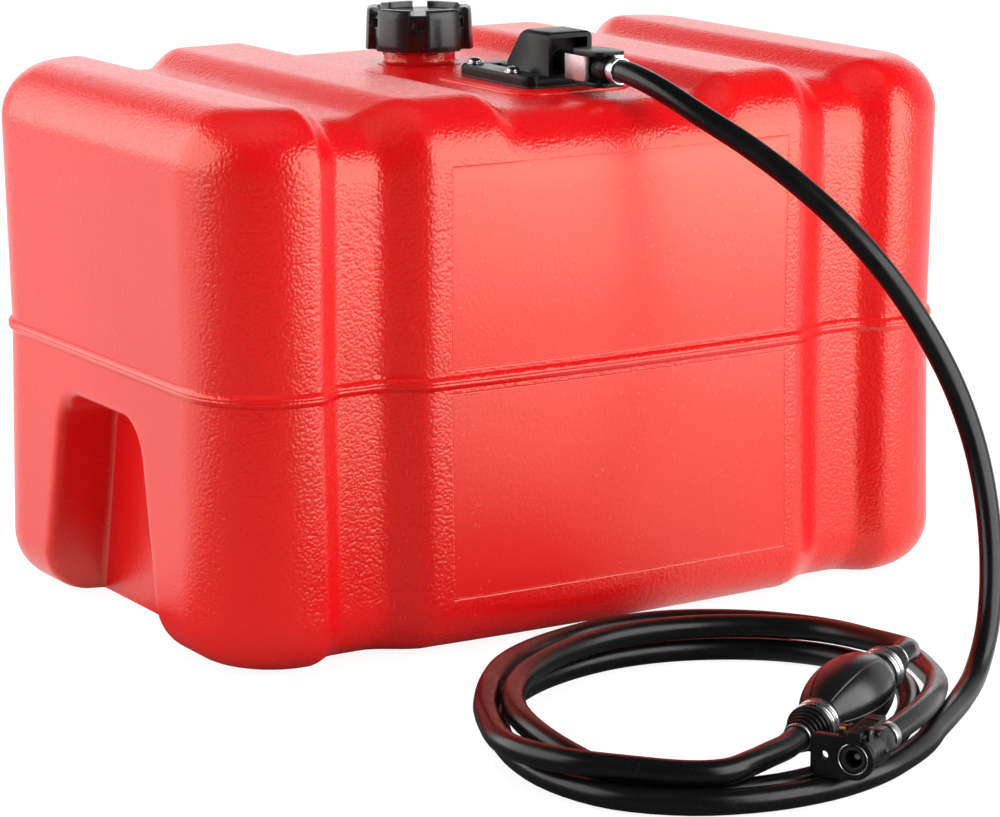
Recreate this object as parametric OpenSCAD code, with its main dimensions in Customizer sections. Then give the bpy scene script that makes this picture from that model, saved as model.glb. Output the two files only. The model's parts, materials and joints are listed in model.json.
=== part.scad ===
// Portable outboard fuel tank with vented screw cap, fuel pickup, quick
// connectors, primer bulb and fuel hose. Millimetres, +Z up.
// Origin: centre of the tank's underside. +X runs to the tank's right end,
// -Y faces the front, where the hose leaves and lies coiled on the floor.

/* [Tank] */
// Length over the end walls at the parting line
tank_l = 574; // [560:1:590]
// Depth over the middle of the front and back panels
tank_w = 382; // [376:1:390]
// Height over the end blocks
tank_h = 360; // [355:1:365]
// Thickness of the moulded wall
wall = 4; // [3:0.5:5]
// Radius of the upright corners, seen from above
corner_r = 63; // [58:1:68]
// Radius of the upper edges
top_r = 38; // [34:1:40]
// Radius of the lower edges
bottom_r = 33; // [28:1:36]
// Outward lean of the walls, away from the parting line, in mm per mm
lean = 0.02; // [0:0.005:0.025]
// How far the parting bead stands out
bead_out = 3; // [2:0.5:4]
// Height of the parting bead
bead_h = 9; // [7:0.5:11]
// Depth of the strap channels in the front and back
channel_d = 17; // [12:1:20]
// Depth of the strap channels in the top
channel_top_d = 11; // [8:1:13]
// Drop of the middle deck below the top
deck_drop = 12; // [9:1:14]
// Half the length of the middle deck
deck_half = 76; // [72:1:79]

/* [Hand pockets] */
// Depth of the hand pocket in each end
pocket_d = 40; // [34:1:46]
// Height of the pocket's upper edge
pocket_h = 147; // [135:1:155]
// Width of the pocket at its upper edge
pocket_top_w = 120; // [110:1:130]
// Width of the pocket at the floor
pocket_bottom_w = 174; // [160:1:184]

/* [Filler and cap] */
// Outer diameter of the filler neck
neck_od = 50; // [48:1:52]
// Bore of the filler neck
neck_bore = 42; // [38:1:44]
// Height of the neck above the deck
neck_h = 32; // [31:1:34]
// Diameter of the cap over its lobes
cap_od = 72; // [70:1:76]
// Height of the cap over its lobes
cap_h = 29; // [28:1:31]
// Number of grip lobes round the cap
cap_lobes = 6; // [4:1:8]
// Rise of the cap in one turn
thread_pitch = 5; // [4:0.5:6]

/* [Fuel pickup] */
// Width of the pickup flange along X
flange_w = 66; // [62:1:70]
// Length of the pickup flange along Y
flange_l = 92; // [90:1:98]
// Thickness of the pickup flange
flange_t = 6.5; // [5:0.5:7]
// Width of the hood over the socket
hood_w = 34; // [32:1:36]
// Height of the hood above the flange's underside
hood_h = 35; // [34:1:37]
// Length of the hood along Y
hood_l = 52; // [50:1:54]
// Diameter of the flange screws
screw_d = 4.8; // [4.2:0.2:5]
// Outer diameter of the dip tube
dip_od = 10; // [9:0.5:11]
// Gap between the strainer and the tank's floor
dip_gap = 3; // [2:0.5:6]

/* [Fuel line] */
// Outer diameter of the hose
hose_d = 15; // [14:0.5:15]
// Diameter of the primer bulb
bulb_d = 48; // [45:1:49]
// Length of the bulb between its necks
bulb_l = 84; // [80:1:88]
// Bore of the port in the engine connector
port_bore = 10; // [9:0.5:11]
// Bore of the guide hole in the engine connector
guide_bore = 5.4; // [5:0.1:6]
// Distance from the port to the guide hole
guide_spacing = 17.8; // [17:0.1:18.5]

/* [Hidden] */

$fn = 48;
eps = 0.01;        // overlap of cutting shapes past a face
seat_gap = 0.3;    // gap between pieces of different bodies
run_gap = 0.05;    // radial running clearance

red = "#d4000c";
black = "#161616";
silver = "#c9cbce";
steel = "#9ea1a5";
brass = "#b58a3c";
rubber = "#1c1c1d";

// ---------------------------------------------------------------- tank form

half_l = tank_l / 2;
half_w = tank_w / 2;
parting_z = tank_h / 2;
panel_half = 132;            // half-length of the middle panel
panel_bow = 3;               // crown of the middle panel
channel_in = 170;            // channel floor, inner edge
channel_out = 200;           // channel floor, outer edge
block_in = half_l - corner_r;      // where the upright corner begins
block_set = 6;               // end blocks stand this far behind the panel's crown
corner_y = half_w - block_set;

function ease(x, a, b) = let(t = max(0, min(1, (x - a) / (b - a)))) t * t * (3 - 2 * t);

// Half-depth of the plan outline at x, up to the upright corner
function plan_y(x) = let(a = abs(x))
    half_w - panel_bow * pow(min(a, panel_half) / panel_half, 2)
    - channel_d * ease(a, panel_half, channel_in)
    + (channel_d + panel_bow - block_set) * ease(a, channel_out, block_in);

// Height of the top at x
function top_z(x) = let(a = abs(x))
    tank_h - deck_drop * (1 - ease(a, deck_half, deck_half + 16))
    - channel_top_d * (ease(a, channel_in - 14, channel_in + 2) - ease(a, channel_out - 2, channel_out + 14));

// Stations along X for the right half: [x, y, outward normal angle]
function steps(a, b, n) = [for (i = [1 : n]) a + (b - a) * i / n];
function stations_x(n) = concat(
    [0, deck_half / 2],
    [deck_half], steps(deck_half, deck_half + 16, n),
    [(deck_half + 16 + panel_half) / 2, panel_half],
    steps(panel_half, channel_in, 2 * n), [channel_out],
    steps(channel_out, block_in, n + 1));
function corner_stations(n) = [for (i = [1 : n]) let(a = -90 + 90 * i / n)
    [block_in + corner_r * cos(a), -(corner_y - corner_r) + corner_r * sin(a), a]];
function right_half(n, m) = concat(
    [for (x = stations_x(n)) [x, -plan_y(x), -90]], corner_stations(m));
function front_edge(n, m) = let(r = right_half(n, m), k = len(r))
    concat([for (i = [k - 1 : -1 : 1]) [-r[i][0], r[i][1], 180 - r[i][2]]], r);

// Levels up the wall: [kind, angle or height, how far the wall stands out]
function wall_levels(n, bead) = concat(
    [for (i = [0 : n]) [0, 90 - 90 * i / n, 0]],
    bead ? [for (p = [[-1, 0], [-0.72, 1], [-0.2, 1], [0, 0.45], [0.2, 1], [0.72, 1], [1, 0]])
        [1, parting_z + p[0] * bead_h / 2, p[1] * bead_out]] : [[1, parting_z, 0]],
    [for (i = [0 : n]) [2, 90 * i / n, 0]]);

// One point of the skin: station s, level v, moved in by inset
function skin_point(s, v, inset) = let(
    rb = bottom_r - inset,
    rt = top_r - inset,
    zt = top_z(s[0]) - inset,
    zb = inset,
    z = v[0] == 0 ? zb + rb * (1 - sin(v[1])) : (v[0] == 1 ? v[1] : zt - rt * (1 - sin(v[1]))),
    z_lean = v[0] == 0 ? zb + rb : (v[0] == 1 ? v[1] : zt - rt),
    out = v[2] - inset + lean * abs(z_lean - parting_z)
        - (v[0] == 0 ? rb * (1 - cos(v[1])) : (v[0] == 2 ? rt * (1 - cos(v[1])) : 0)))
    [s[0] + out * cos(s[2]), s[1] + out * sin(s[2]), z];

// Closed body lofted from the stations and levels
module tank_body(n, m, rows, bead, inset) {
    front = front_edge(n, m);
    k = len(front);
    ring = concat(front, [for (i = [k - 1 : -1 : 0]) [front[i][0], -front[i][1], -front[i][2]]]);
    levels = wall_levels(rows, bead);
    c = len(ring);
    last = (len(levels) - 1) * c;
    points = [for (v = levels) for (s = ring) skin_point(s, v, inset)];
    sides = [for (j = [0 : len(levels) - 2]) for (i = [0 : c - 1]) let(
        a = j * c + i, b = j * c + (i + 1) % c, d = a + c, e = b + c) each [[a, d, b], [b, d, e]]];
    caps = [for (i = [0 : k - 2]) let(a = i, b = i + 1, d = c - 2 - i, e = c - 1 - i)
        each [[a, b, d], [a, d, e], [last + a, last + d, last + b], [last + a, last + e, last + d]]];
    polyhedron(points = points, faces = concat(sides, caps));
}

// ------------------------------------------------------------- tank details

deck_z = tank_h - deck_drop;
neck_x = 2;
neck_y = 73;
neck_top = deck_z + neck_h;
pickup_x = 14;               // centre line of the pickup
pad_h = 2;                   // raised pad under the pickup
gasket_t = 1.5;
flange_back = -13;           // back edge of the flange
flange_z = deck_z + pad_h + gasket_t;
flange_top = flange_z + flange_t;
flange_mid = flange_back - flange_l / 2;
dip_y = -52;                 // dip tube's centre
boss_r = 7.5;                // bosses for the threaded inserts
boss_l = 15;
insert_r = 3.8;
insert_l = 12;
screw_in_back = 10;          // back screws, in from the flange's side edge
screw_in_front = 6.2;
screw_row_back = 8;          // screw rows, from the flange's back edge
screw_row_front = 63;
screw_xs = [flange_w / 2 - screw_in_back, flange_w / 2 - screw_in_front];
screw_rows = [flange_back - screw_row_back, flange_back - screw_row_front];
pickup_hole_r = 13;

module at_screws() {
    for (i = [0, 1], side = [-1, 1])
        translate([pickup_x + side * screw_xs[i], screw_rows[i], 0]) children();
}

function arc_points(cx, cy, r, a0, a1, n) = [for (i = [0 : n]) let(a = a0 + (a1 - a0) * i / n)
    [cx + r * cos(a), cy + r * sin(a)]];

// Outline of a hand pocket in Y and Z, grown by g
module pocket_outline(g) {
    w1 = pocket_bottom_w / 2 + g;
    w2 = pocket_top_w / 2 + g;
    r = 22 + g;
    polygon(concat([[-w1, -5], [w1, -5]],
        arc_points(w2 - r, pocket_h + g - r, r, 12, 90, 5),
        arc_points(-w2 + r, pocket_h + g - r, r, 90, 168, 5)));
}

module pocket(side, g) {
    deep = half_l - pocket_d - g;
    rotate([0, 0, side < 0 ? 180 : 0])
        translate([deep, 0, 0])
            rotate([90, 0, 90])
                linear_extrude(pocket_d + 20) pocket_outline(g);
}

module rounded_box(w, l, h, r) {
    for (x = [-1, 1], y = [-1, 1])
        translate([x * (w / 2 - r), y * (l / 2 - r), 0]) cylinder(r = r, h = h);
    translate([-w / 2, -l / 2 + r, 0]) cube([w, l - 2 * r, h]);
    translate([-w / 2 + r, -l / 2, 0]) cube([w - 2 * r, l, h]);
}

module tank_shell() color(red) {
    pad_w = flange_w + 14;
    difference() {
        union() {
            tank_body(3, 6, 5, true, 0);
            translate([pickup_x, flange_mid, deck_z - wall / 2])
                rounded_box(pad_w, flange_l + 12, wall / 2 + pad_h, 12);
            translate([neck_x, neck_y, deck_z - wall / 2]) cylinder(d = neck_od + 9, h = wall / 2 + 3);
            translate([neck_x, neck_y, deck_z - wall / 2]) cylinder(d = neck_od, h = wall / 2 + neck_h);
        }
        difference() {
            tank_body(2, 3, 2, false, wall);
            pocket(1, wall);
            pocket(-1, wall);
            at_screws() translate([0, 0, deck_z - boss_l]) cylinder(r = boss_r, h = boss_l);
        }
        pocket(1, 0);
        pocket(-1, 0);
        translate([neck_x, neck_y, deck_z - 2 * wall]) cylinder(d = neck_bore, h = neck_h + 3 * wall);
        translate([pickup_x, dip_y, deck_z - 2 * wall]) cylinder(r = pickup_hole_r, h = 3 * wall);
        at_screws() translate([0, 0, deck_z + pad_h - insert_l]) cylinder(r = insert_r, h = insert_l + eps);
    }
}

module threaded_inserts() color(brass) {
    at_screws() translate([0, 0, deck_z + pad_h - insert_l]) difference() {
        cylinder(r = insert_r, h = insert_l);
        translate([0, 0, -eps]) cylinder(r = screw_d / 2, h = insert_l + 2 * eps);
    }
}

// ---------------------------------------------------------------------- cap

cap_foot = neck_top - cap_h + 8;      // underside of the cap's skirt
seal_t = 1.8;
cap_roof = neck_top + seal_t;         // underside of the cap's roof
roof_t = 2.4;
cap_top = cap_foot + cap_h;
skirt_r = neck_od / 2 + 1.5;
core_r = cap_od / 2 - 4;
lobe_gap = 20;                        // angle of the slot between two lobes
lobe_rim = 4;                         // how far a lobe reaches in over the roof
vent_r = 9;

module at_neck() {
    translate([neck_x, neck_y, 0]) children();
}

module filler_cap() color(black) at_neck() {
    lobe = 360 / cap_lobes;
    draft = 1.2;
    difference() {
        union() {
            rotate_extrude() polygon([[0, cap_roof], [0, cap_roof + roof_t], [core_r - 3, cap_roof + roof_t],
                [core_r - 0.8, cap_roof + roof_t - 0.8], [core_r, cap_roof + roof_t - 3], [core_r, cap_foot],
                [skirt_r, cap_foot], [skirt_r, cap_roof]]);
            for (i = [0 : cap_lobes - 1]) rotate([0, 0, i * lobe + lobe / 2 - 31.5 - 90 - (lobe - lobe_gap) / 2])
                rotate_extrude(angle = lobe - lobe_gap) polygon([
                    [skirt_r + 1, cap_foot], [cap_od / 2, cap_foot], [cap_od / 2 - draft, cap_top - 2],
                    [cap_od / 2 - draft - 0.6, cap_top - 0.6], [cap_od / 2 - draft - 2, cap_top],
                    [core_r - lobe_rim, cap_top], [core_r - lobe_rim, cap_roof + roof_t / 2],
                    [skirt_r + 1, cap_roof + roof_t / 2]]);
        }
        translate([0, 0, cap_roof - eps]) cylinder(r = vent_r + run_gap, h = roof_t - 1 + eps);
        for (i = [0 : cap_lobes - 1]) rotate([0, 0, i * lobe - 31.5 - 90])
            translate([core_r - 2, -4, cap_top - 13]) cube([6, 8, 6]);
    }
}

module cap_gasket() color(rubber) at_neck() translate([0, 0, neck_top]) difference() {
    cylinder(d = neck_od - 1, h = seal_t);
    translate([0, 0, -eps]) cylinder(d = neck_bore, h = seal_t + 2 * eps);
}

// Round valve carrier under the middle of the cap's roof
vent_top = cap_roof + roof_t - 1 - run_gap;
vent_len = 12;
vent_floor = vent_top - vent_len;
vent_port_r = 2.5;
vent_room_r = 6;
vent_disc_r = 5;
vent_disc_t = 1.2;
vent_wire = 0.6;

module vent_body() color(black) at_neck() difference() {
    translate([0, 0, vent_floor]) cylinder(r = vent_r, h = vent_len);
    translate([0, 0, vent_floor + 1.5]) cylinder(r = vent_room_r, h = vent_len - 3);
    translate([0, 0, vent_floor - eps]) cylinder(r = vent_port_r, h = vent_len + 2 * eps);
}

vent_disc_z = vent_top - 1.5 - vent_disc_t - run_gap;

module vent_disc() color(silver) at_neck() translate([0, 0, vent_disc_z]) cylinder(r = vent_disc_r, h = vent_disc_t);

module vent_spring() color(steel) at_neck() translate([0, 0, vent_floor + 1.5]) difference() {
    cylinder(r = 4.2, h = vent_disc_z - vent_floor - 1.5);
    translate([0, 0, -eps]) cylinder(r = 4.2 - vent_wire, h = vent_len);
}

// ------------------------------------------------------------------- pickup

hood_front = flange_back - flange_l;
hood_back = hood_front + hood_l;
hood_top = flange_z + hood_h;
hood_r = 5;
port_z = flange_z + 15;               // height of the fuel passage
socket_w = hood_w - 7;
socket_d = 15;
socket_low = flange_top + 0.5;
socket_floor = hood_front + socket_d;
nipple_r = 4;
nipple_hole = 1.6;
recess_x = 11;                        // sinks in the flange behind the hood
recess_w = 8;
recess_l = 22;
recess_d = 2;
washer_d = 12;
washer_t = 1;
screw_l = 18;

module pickup_gasket() color(rubber) difference() {
    translate([pickup_x, flange_mid, deck_z + pad_h]) rounded_box(flange_w, flange_l, gasket_t, 9);
    translate([pickup_x, dip_y, deck_z]) cylinder(r = pickup_hole_r, h = 9);
    at_screws() translate([0, 0, deck_z]) cylinder(d = screw_d + 1, h = 9);
}

// Side profile of the hood in Y and Z
module hood_profile() {
    polygon(concat(
        [[hood_front, flange_top - 1], [hood_back + 1, flange_top - 1], [hood_back, flange_top + 5]],
        arc_points(hood_back - 24, hood_top - 9, 9, 42, 90, 5),
        arc_points(hood_front + 1.5, hood_top - 1.5, 1.5, 90, 180, 3)));
}

module pickup_housing() color(black) difference() {
    union() {
        translate([pickup_x, flange_mid, flange_z]) rounded_box(flange_w, flange_l, flange_t - 1, 9);
        translate([pickup_x, flange_mid, flange_z]) rounded_box(flange_w - 2, flange_l - 2, flange_t, 8);
        difference() {
            translate([pickup_x - hood_w / 2, 0, 0]) rotate([90, 0, 90]) linear_extrude(hood_w) hood_profile();
            for (side = [-1, 1]) translate([pickup_x + side * (hood_w / 2 - hood_r), 0, hood_top - hood_r])
                rotate([90, 0, 0]) difference() {
                    translate([side > 0 ? 0 : -hood_r - 1, 0, -1]) cube([hood_r + 1, hood_r + 1, 120]);
                    translate([0, 0, -2]) cylinder(r = hood_r, h = 130);
                }
        }
    }
    translate([pickup_x - socket_w / 2, hood_front - 1, socket_low])
        cube([socket_w, socket_d + 1, hood_top - 4 - socket_low]);
    translate([pickup_x, dip_y, port_z]) rotate([90, 0, 0]) cylinder(r = nipple_r - 0.6, h = dip_y - socket_floor + 1);
    translate([pickup_x, dip_y, flange_z - eps]) cylinder(r = 3.4, h = port_z - flange_z);
    translate([pickup_x, dip_y, flange_z - eps]) cylinder(d = dip_od, h = 4);
    at_screws() translate([0, 0, flange_z - eps]) cylinder(d = screw_d + 1, h = flange_t + 1);
    for (side = [-1, 1]) translate([pickup_x + side * recess_x - recess_w / 2, hood_back + 4, flange_top - recess_d])
        cube([recess_w, recess_l, recess_d + 1]);
}

module screw_washers() color(silver) at_screws() translate([0, 0, flange_top]) difference() {
    cylinder(d = washer_d, h = washer_t);
    translate([0, 0, -eps]) cylinder(d = screw_d + 0.4, h = washer_t + 2 * eps);
}

module pickup_screws() color(silver) at_screws() translate([0, 0, flange_top + washer_t]) difference() {
    union() {
        rotate_extrude() polygon([[0, 3.4], [2.4, 3.1], [4, 2.2], [4.7, 1], [4.8, 0], [0, 0]]);
        translate([0, 0, -screw_l]) cylinder(d = screw_d - 0.1, h = screw_l + eps);
    }
    for (a = [0, 90]) rotate([0, 0, a]) translate([-2.4, -0.45, 1.6]) cube([4.8, 0.9, 3]);
}

strainer_h = 16;
strainer_z = wall + dip_gap;

module dip_tube() color("#d8d4c8") translate([pickup_x, dip_y, strainer_z + 4]) difference() {
    cylinder(d = dip_od - 0.1, h = flange_z - strainer_z - run_gap);
    translate([0, 0, -eps]) cylinder(r = dip_od / 2 - 1, h = flange_z);
}

module strainer() color("#b9bcc0") translate([pickup_x, dip_y, strainer_z]) difference() {
    union() {
        cylinder(r = 8, h = strainer_h - 4);
        cylinder(r = 6.5, h = strainer_h);
    }
    translate([0, 0, 4]) cylinder(d = dip_od, h = strainer_h);
    for (a = [0 : 45 : 315]) rotate([0, 0, a]) translate([5.5, -1, 1.5]) cube([4, 2, 9]);
}

nipple_tip = hood_front - 16;
groove_r = 2.75;                      // bottom of the nipple's O-ring groove
oring_t = 1.2;
oring_y = nipple_tip + 5;

// A shape drawn along +Z becomes one that runs towards the front from y
module along_front(y) {
    translate([pickup_x, y, port_z]) rotate([90, 0, 0]) children();
}

module tank_nipple() color(silver) difference() {
    union() {
        along_front(socket_floor) cylinder(r = 6.5, h = 2.5);
        along_front(socket_floor) cylinder(r = nipple_r, h = socket_floor - nipple_tip);
    }
    along_front(socket_floor + 1) cylinder(r = nipple_hole, h = 60);
    along_front(oring_y + oring_t / 2 + 0.1) difference() {
        cylinder(r = nipple_r + 1, h = oring_t + 0.2);
        translate([0, 0, -eps]) cylinder(r = groove_r, h = oring_t + 1);
    }
}

module nipple_oring() color(rubber) along_front(oring_y)
    rotate_extrude() translate([groove_r + run_gap + oring_t / 2, 0, 0]) circle(d = oring_t, $fn = 20);

// --------------------------------------------------------- tank connector

nose_front = hood_front + 11;         // front face of the connector's nose
nose_r = 7.4;
conn_front = hood_front - 16;         // front edge of its two cheek plates
conn_back = hood_front - 53;          // rear face, where the hose begins
conn_w = 24;
conn_h = 23;
barrel_r = 9.5;
cheek_t = 3;
cheek_l = 36;
valve_room_r = 5;
valve_travel = 3;
valve_room_y = nipple_tip + valve_travel;
valve_room_l = 17;
latch_room = 6;                       // depth of the latch's recess
latch_x = pickup_x - conn_w / 2 + 1.9;
latch_pin_y = conn_front - 10;
latch_pin_r = 1;
latch_t = 1.2;
latch_l = 23;
latch_h = conn_h - 2 * cheek_t - 2 * seat_gap;
latch_off = 2.2;                      // from the pin's axis to the plate
spring_y = latch_pin_y - 6.5;
stem_in = 12;                         // length of stem held in a connector
stem_r = 4;
barb_l = 15;                          // length of stem inside the hose

module connector_body() color(black) difference() {
    union() {
        for (z = [-conn_h / 2, conn_h / 2 - cheek_t])
            translate([pickup_x, conn_front - cheek_l / 2, port_z + z]) rounded_box(conn_w, cheek_l, cheek_t, 8);
        translate([pickup_x - conn_w / 2 + latch_room, conn_front - 30, port_z - conn_h / 2 + 1])
            cube([conn_w - latch_room - 1, 29, conn_h - 2]);
        along_front(nose_front) cylinder(r = nose_r, h = 31);
        along_front(conn_front - 3) cylinder(r = barrel_r, h = 30);
        along_front(conn_front - 33) cylinder(r1 = barrel_r, r2 = barrel_r - 1.3, h = conn_front - 33 - conn_back);
    }
    along_front(nose_front + 1) cylinder(r = nipple_r + run_gap, h = nose_front + 1 - valve_room_y + 1);
    along_front(valve_room_y) cylinder(r = valve_room_r, h = valve_room_l);
    along_front(valve_room_y - valve_room_l + 1) cylinder(r = 2.6, h = 40);
    along_front(conn_back + stem_in) cylinder(r = stem_r, h = stem_in + 1);
    translate([latch_x, latch_pin_y, port_z - conn_h / 2 + 0.8]) cylinder(r = latch_pin_r, h = conn_h - 1.6);
    translate([pickup_x - conn_w / 2 - 1, conn_front - 24, port_z - conn_h / 2 + cheek_t])
        cube([latch_room + 1, 26, conn_h - 2 * cheek_t]);
}

// Bent steel plate on the connector's side, with two ears on its pin
module connector_latch() color(silver) translate([latch_x, latch_pin_y, port_z]) difference() {
    union() {
        translate([-latch_off - latch_t, -latch_l / 2, -latch_h / 2]) cube([latch_t, latch_l, latch_h]);
        translate([-latch_off - latch_t, -latch_l / 2, -latch_h / 2]) cube([4.6, latch_t, latch_h]);
        for (z = [-latch_h / 2, latch_h / 2 - latch_t])
            translate([-latch_off - latch_t / 2, -2.2, z]) cube([latch_off + latch_t / 2 + 2, 4.4, latch_t]);
    }
    translate([0, 0, -latch_h]) cylinder(r = latch_pin_r + run_gap, h = 2 * latch_h);
}

module latch_pin() color(steel) translate([latch_x, latch_pin_y, port_z - conn_h / 2 + 0.8])
    cylinder(r = latch_pin_r, h = conn_h - 1.6);

module latch_spring() color(steel) translate([latch_x - latch_off + 1.1, spring_y, port_z]) rotate([0, 90, 0])
    difference() {
        cylinder(r = 1.8, h = pickup_x - conn_w / 2 + latch_room - latch_x + latch_off - 1.1);
        translate([0, 0, -eps]) cylinder(r = 1.2, h = 9);
    }

module connector_valve() color(silver) along_front(nipple_tip - 0.4) {
    cylinder(r = valve_room_r - 0.3, h = 1.6);
    cylinder(r = 3.4, h = 4);
}

module connector_valve_spring() color(steel) along_front(nipple_tip - 0.4 - 1.6) difference() {
    cylinder(r = valve_room_r - 0.3, h = valve_room_l - valve_travel - 2);
    translate([0, 0, -eps]) cylinder(r = valve_room_r - 1, h = valve_room_l);
}

// Barbed hose stem, drawn from its held end along +Z
module stem() {
    difference() {
        union() {
            cylinder(r = stem_r - run_gap, h = stem_in);
            for (i = [0 : 2]) translate([0, 0, stem_in + i * barb_l / 3])
                cylinder(r1 = stem_r + 1, r2 = stem_r + 0.3, h = barb_l / 3);
        }
        translate([0, 0, -eps]) cylinder(r = 2.6, h = stem_in + barb_l + 1);
    }
}

// Crimp ring round the hose, drawn along +Z
module hose_ring(w, t) {
    difference() {
        cylinder(r = hose_d / 2 + t, h = w);
        translate([0, 0, -eps]) cylinder(r = hose_d / 2 + run_gap, h = w + 2 * eps);
    }
}

module crimp_clamp() {
    hose_ring(7, 1.3);
    translate([-3, hose_d / 2 + 1, 2.2]) cube([6, 2, 2.6]);
}

module connector_stem() color(steel) along_front(conn_back + stem_in) stem();

module tank_hose_clamp() color(silver) along_front(conn_back - 2) crimp_clamp();

// ------------------------------------------------------------- hose routes

hose_r = hose_d / 2;
hose_sides = 8;
coil_sides = 6;
rest_z = hose_r + 0.2;                // axis height of a strand on the floor
run_in = 16;                          // straight length at each hose end

// Primer bulb: centre, heading and rise of its axis
bulb_at = [-25, -472, 28.5];
bulb_heading = 30;
bulb_rise = 3.5;
// Engine connector: port centre and heading
engine_at = [-94, -569, 28.5];
engine_heading = 30;

function heading(a, e) = [cos(a) * cos(e), sin(a) * cos(e), sin(e)];
bulb_axis = heading(bulb_heading, bulb_rise);
engine_axis = heading(engine_heading, 0);
cuff_end = bulb_l / 2 + 30;           // from the bulb's centre to where its hoses begin
engine_back = 42;                     // from the port's face to where its hose begins

lead_start = [pickup_x, conn_back, port_z];
lead_join = [33.2, -488.5, rest_z];
join_dir = [-0.8, -0.6, 0];
coil_end = bulb_at + bulb_axis * cuff_end;
tail_start = bulb_at - bulb_axis * cuff_end;
tail_end = engine_at + engine_axis * engine_back;

// Points that the hose passes through, from the tank down to the floor
lead_route = [
    lead_start, lead_start - [0, run_in, 0], [18, -202, 360], [31, -232, 344.5], [49, -262, 326],
    [68, -292, 303], [89, -319, 274], [111, -342, 237], [130, -361, 194], [141, -375, 154],
    [144, -388, 115], [139, -402, 76], [125, -418, 40], [101, -437, 16], [72, -459, 8.6],
    lead_join - join_dir * run_in, lead_join
];

// Coil round its centre: how far round (deg, clockwise from above), radius, height of the axis
coil_centre = [-58, -412];
coil_stations = [
    [56, 117, 0], [73, 121, 0], [95, 136, 0], [113, 152, 0], [129, 166, 0], [140, 173, 0], [151, 175, 0],
    [161, 172, 0], [173, 165, 0], [185, 157, 0], [202, 150, 0], [219, 146, 0], [250, 142, 0],
    [278, 143, 0], [315, 141, 0], [335, 137, 0], [355, 125, 0], [380, 104, 0], [400, 96, 0],
    [418, 97, 0], [435, 104, 0], [455, 117, 0], [473, 133, 0], [489, 149, 0], [500, 156, 1],
    [511, 158, 4.5], [521, 156, 9.5], [533, 152, 14.5], [545, 148, 16], [559, 142, 16], [579, 136, 16],
    [600, 133, 16], [617, 134, 16], [636, 137, 16], [654, 138, 16], [672, 139, 16], [688, 139, 16],
    [702, 137, 16.5]
];
coil_first = 60;
coil_last = 700;
coil_step = 15;                       // 24 rings a loop
coil_radii = [for (s = coil_stations) [s[0], s[1]]];
coil_heights = [for (s = coil_stations) [s[0], s[2]]];

function coil_point(turn) = let(r = lookup(turn, coil_radii))
    [coil_centre[0] + r * cos(-turn), coil_centre[1] + r * sin(-turn), rest_z + lookup(turn, coil_heights)];

coil_route = concat(
    [lead_join, lead_join + join_dir * run_in],
    [for (turn = [coil_first : coil_step : coil_last]) coil_point(turn)],
    [[68, -404, 28], coil_end + bulb_axis * run_in, coil_end]);

// Points from the bulb's outlet round the outside of the coil to the engine connector
tail_route = [
    tail_start, tail_start - bulb_axis * run_in, [-119, -524, 23.6], [-138, -531, 23.4], [-157, -534, 22.8],
    [-178, -524, 22.8], [-202, -500, 23.4], [-222, -476, 24], [-233, -444, 23], [-232, -416, 22.2],
    [-222, -388, 22.2], [-207, -357, 22.6], [-184, -324, 23.2], [-152, -285, 19.5], [-112, -244, 11.5],
    [-70, -219, rest_z], [-25, -211, rest_z], [22, -219, rest_z], [65, -247, rest_z], [95, -288, rest_z],
    [106, -332, rest_z], [103, -370, rest_z], [92, -400, 8.2], [76, -428, 11.5], [50, -461, 19],
    [22, -492, 25], [-10, -519, 28], tail_end + engine_axis * run_in, tail_end
];

// ------------------------------------------------------------ swept tubes

function unit(v) = v / norm(v);
function curve(p, q, r, s, t) = 0.5 * (2 * q + (r - p) * t + (2 * p - 5 * q + 4 * r - s) * t * t
    + (3 * q - p - 3 * r + s) * t * t * t);

// Smooth path through the points, its first and last stretches kept straight
function smooth(p, n) = concat([p[0]],
    [for (i = [1 : len(p) - 3]) for (k = [0 : n - 1]) curve(p[i - 1], p[i], p[i + 1], p[i + 2], k / n)],
    [p[len(p) - 2], p[len(p) - 1]]);

function tangent(p, i) = unit(p[min(i + 1, len(p) - 1)] - p[max(i - 1, 0)]);

// Tube of round section along a path; side_dir is never parallel to it
module tube(p, r, sides, side_dir) {
    n = len(p);
    points = [for (i = [0 : n - 1]) let(t = tangent(p, i), u = unit(cross(side_dir, t)), v = cross(t, u))
        for (k = [0 : sides - 1]) p[i] + r * (u * cos(360 * k / sides) + v * sin(360 * k / sides))];
    sides_f = [for (i = [0 : n - 2]) for (k = [0 : sides - 1]) let(
        a = i * sides + k, b = i * sides + (k + 1) % sides, c = b + sides, d = a + sides) each [[a, d, b], [b, d, c]]];
    last = (n - 1) * sides;
    ends = [for (k = [1 : sides - 2]) each [[0, k, k + 1], [last, last + k + 1, last + k]]];
    polyhedron(points = points, faces = concat(sides_f, ends));
}

lead_path = smooth(lead_route, 3);
coil_path = smooth(coil_route, 1);
tail_path = smooth(tail_route, 2);

// Least clear gap between strands of one path, measured on points along it
function fine(p, n) = [for (i = [0 : len(p) - 2]) for (k = [0 : n - 1]) p[i] + (p[i + 1] - p[i]) * k / n];
function strand_gap(p, q, apart) = min([for (i = [0 : len(p) - 1]) for (j = [apart < 0 ? 0 : i + apart : 1 : len(q) - 1])
    norm(p[i] - q[j])]) - hose_d;
function path_length(p) = norm_sum([for (i = [1 : len(p) - 1]) norm(p[i] - p[i - 1])], 0);
function norm_sum(v, i) = i >= len(v) ? 0 : v[i] + norm_sum(v, i + 1);

module hose_lead() color(rubber) tube(lead_path, hose_r, hose_sides, [0.8, -0.6, 0]);

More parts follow.
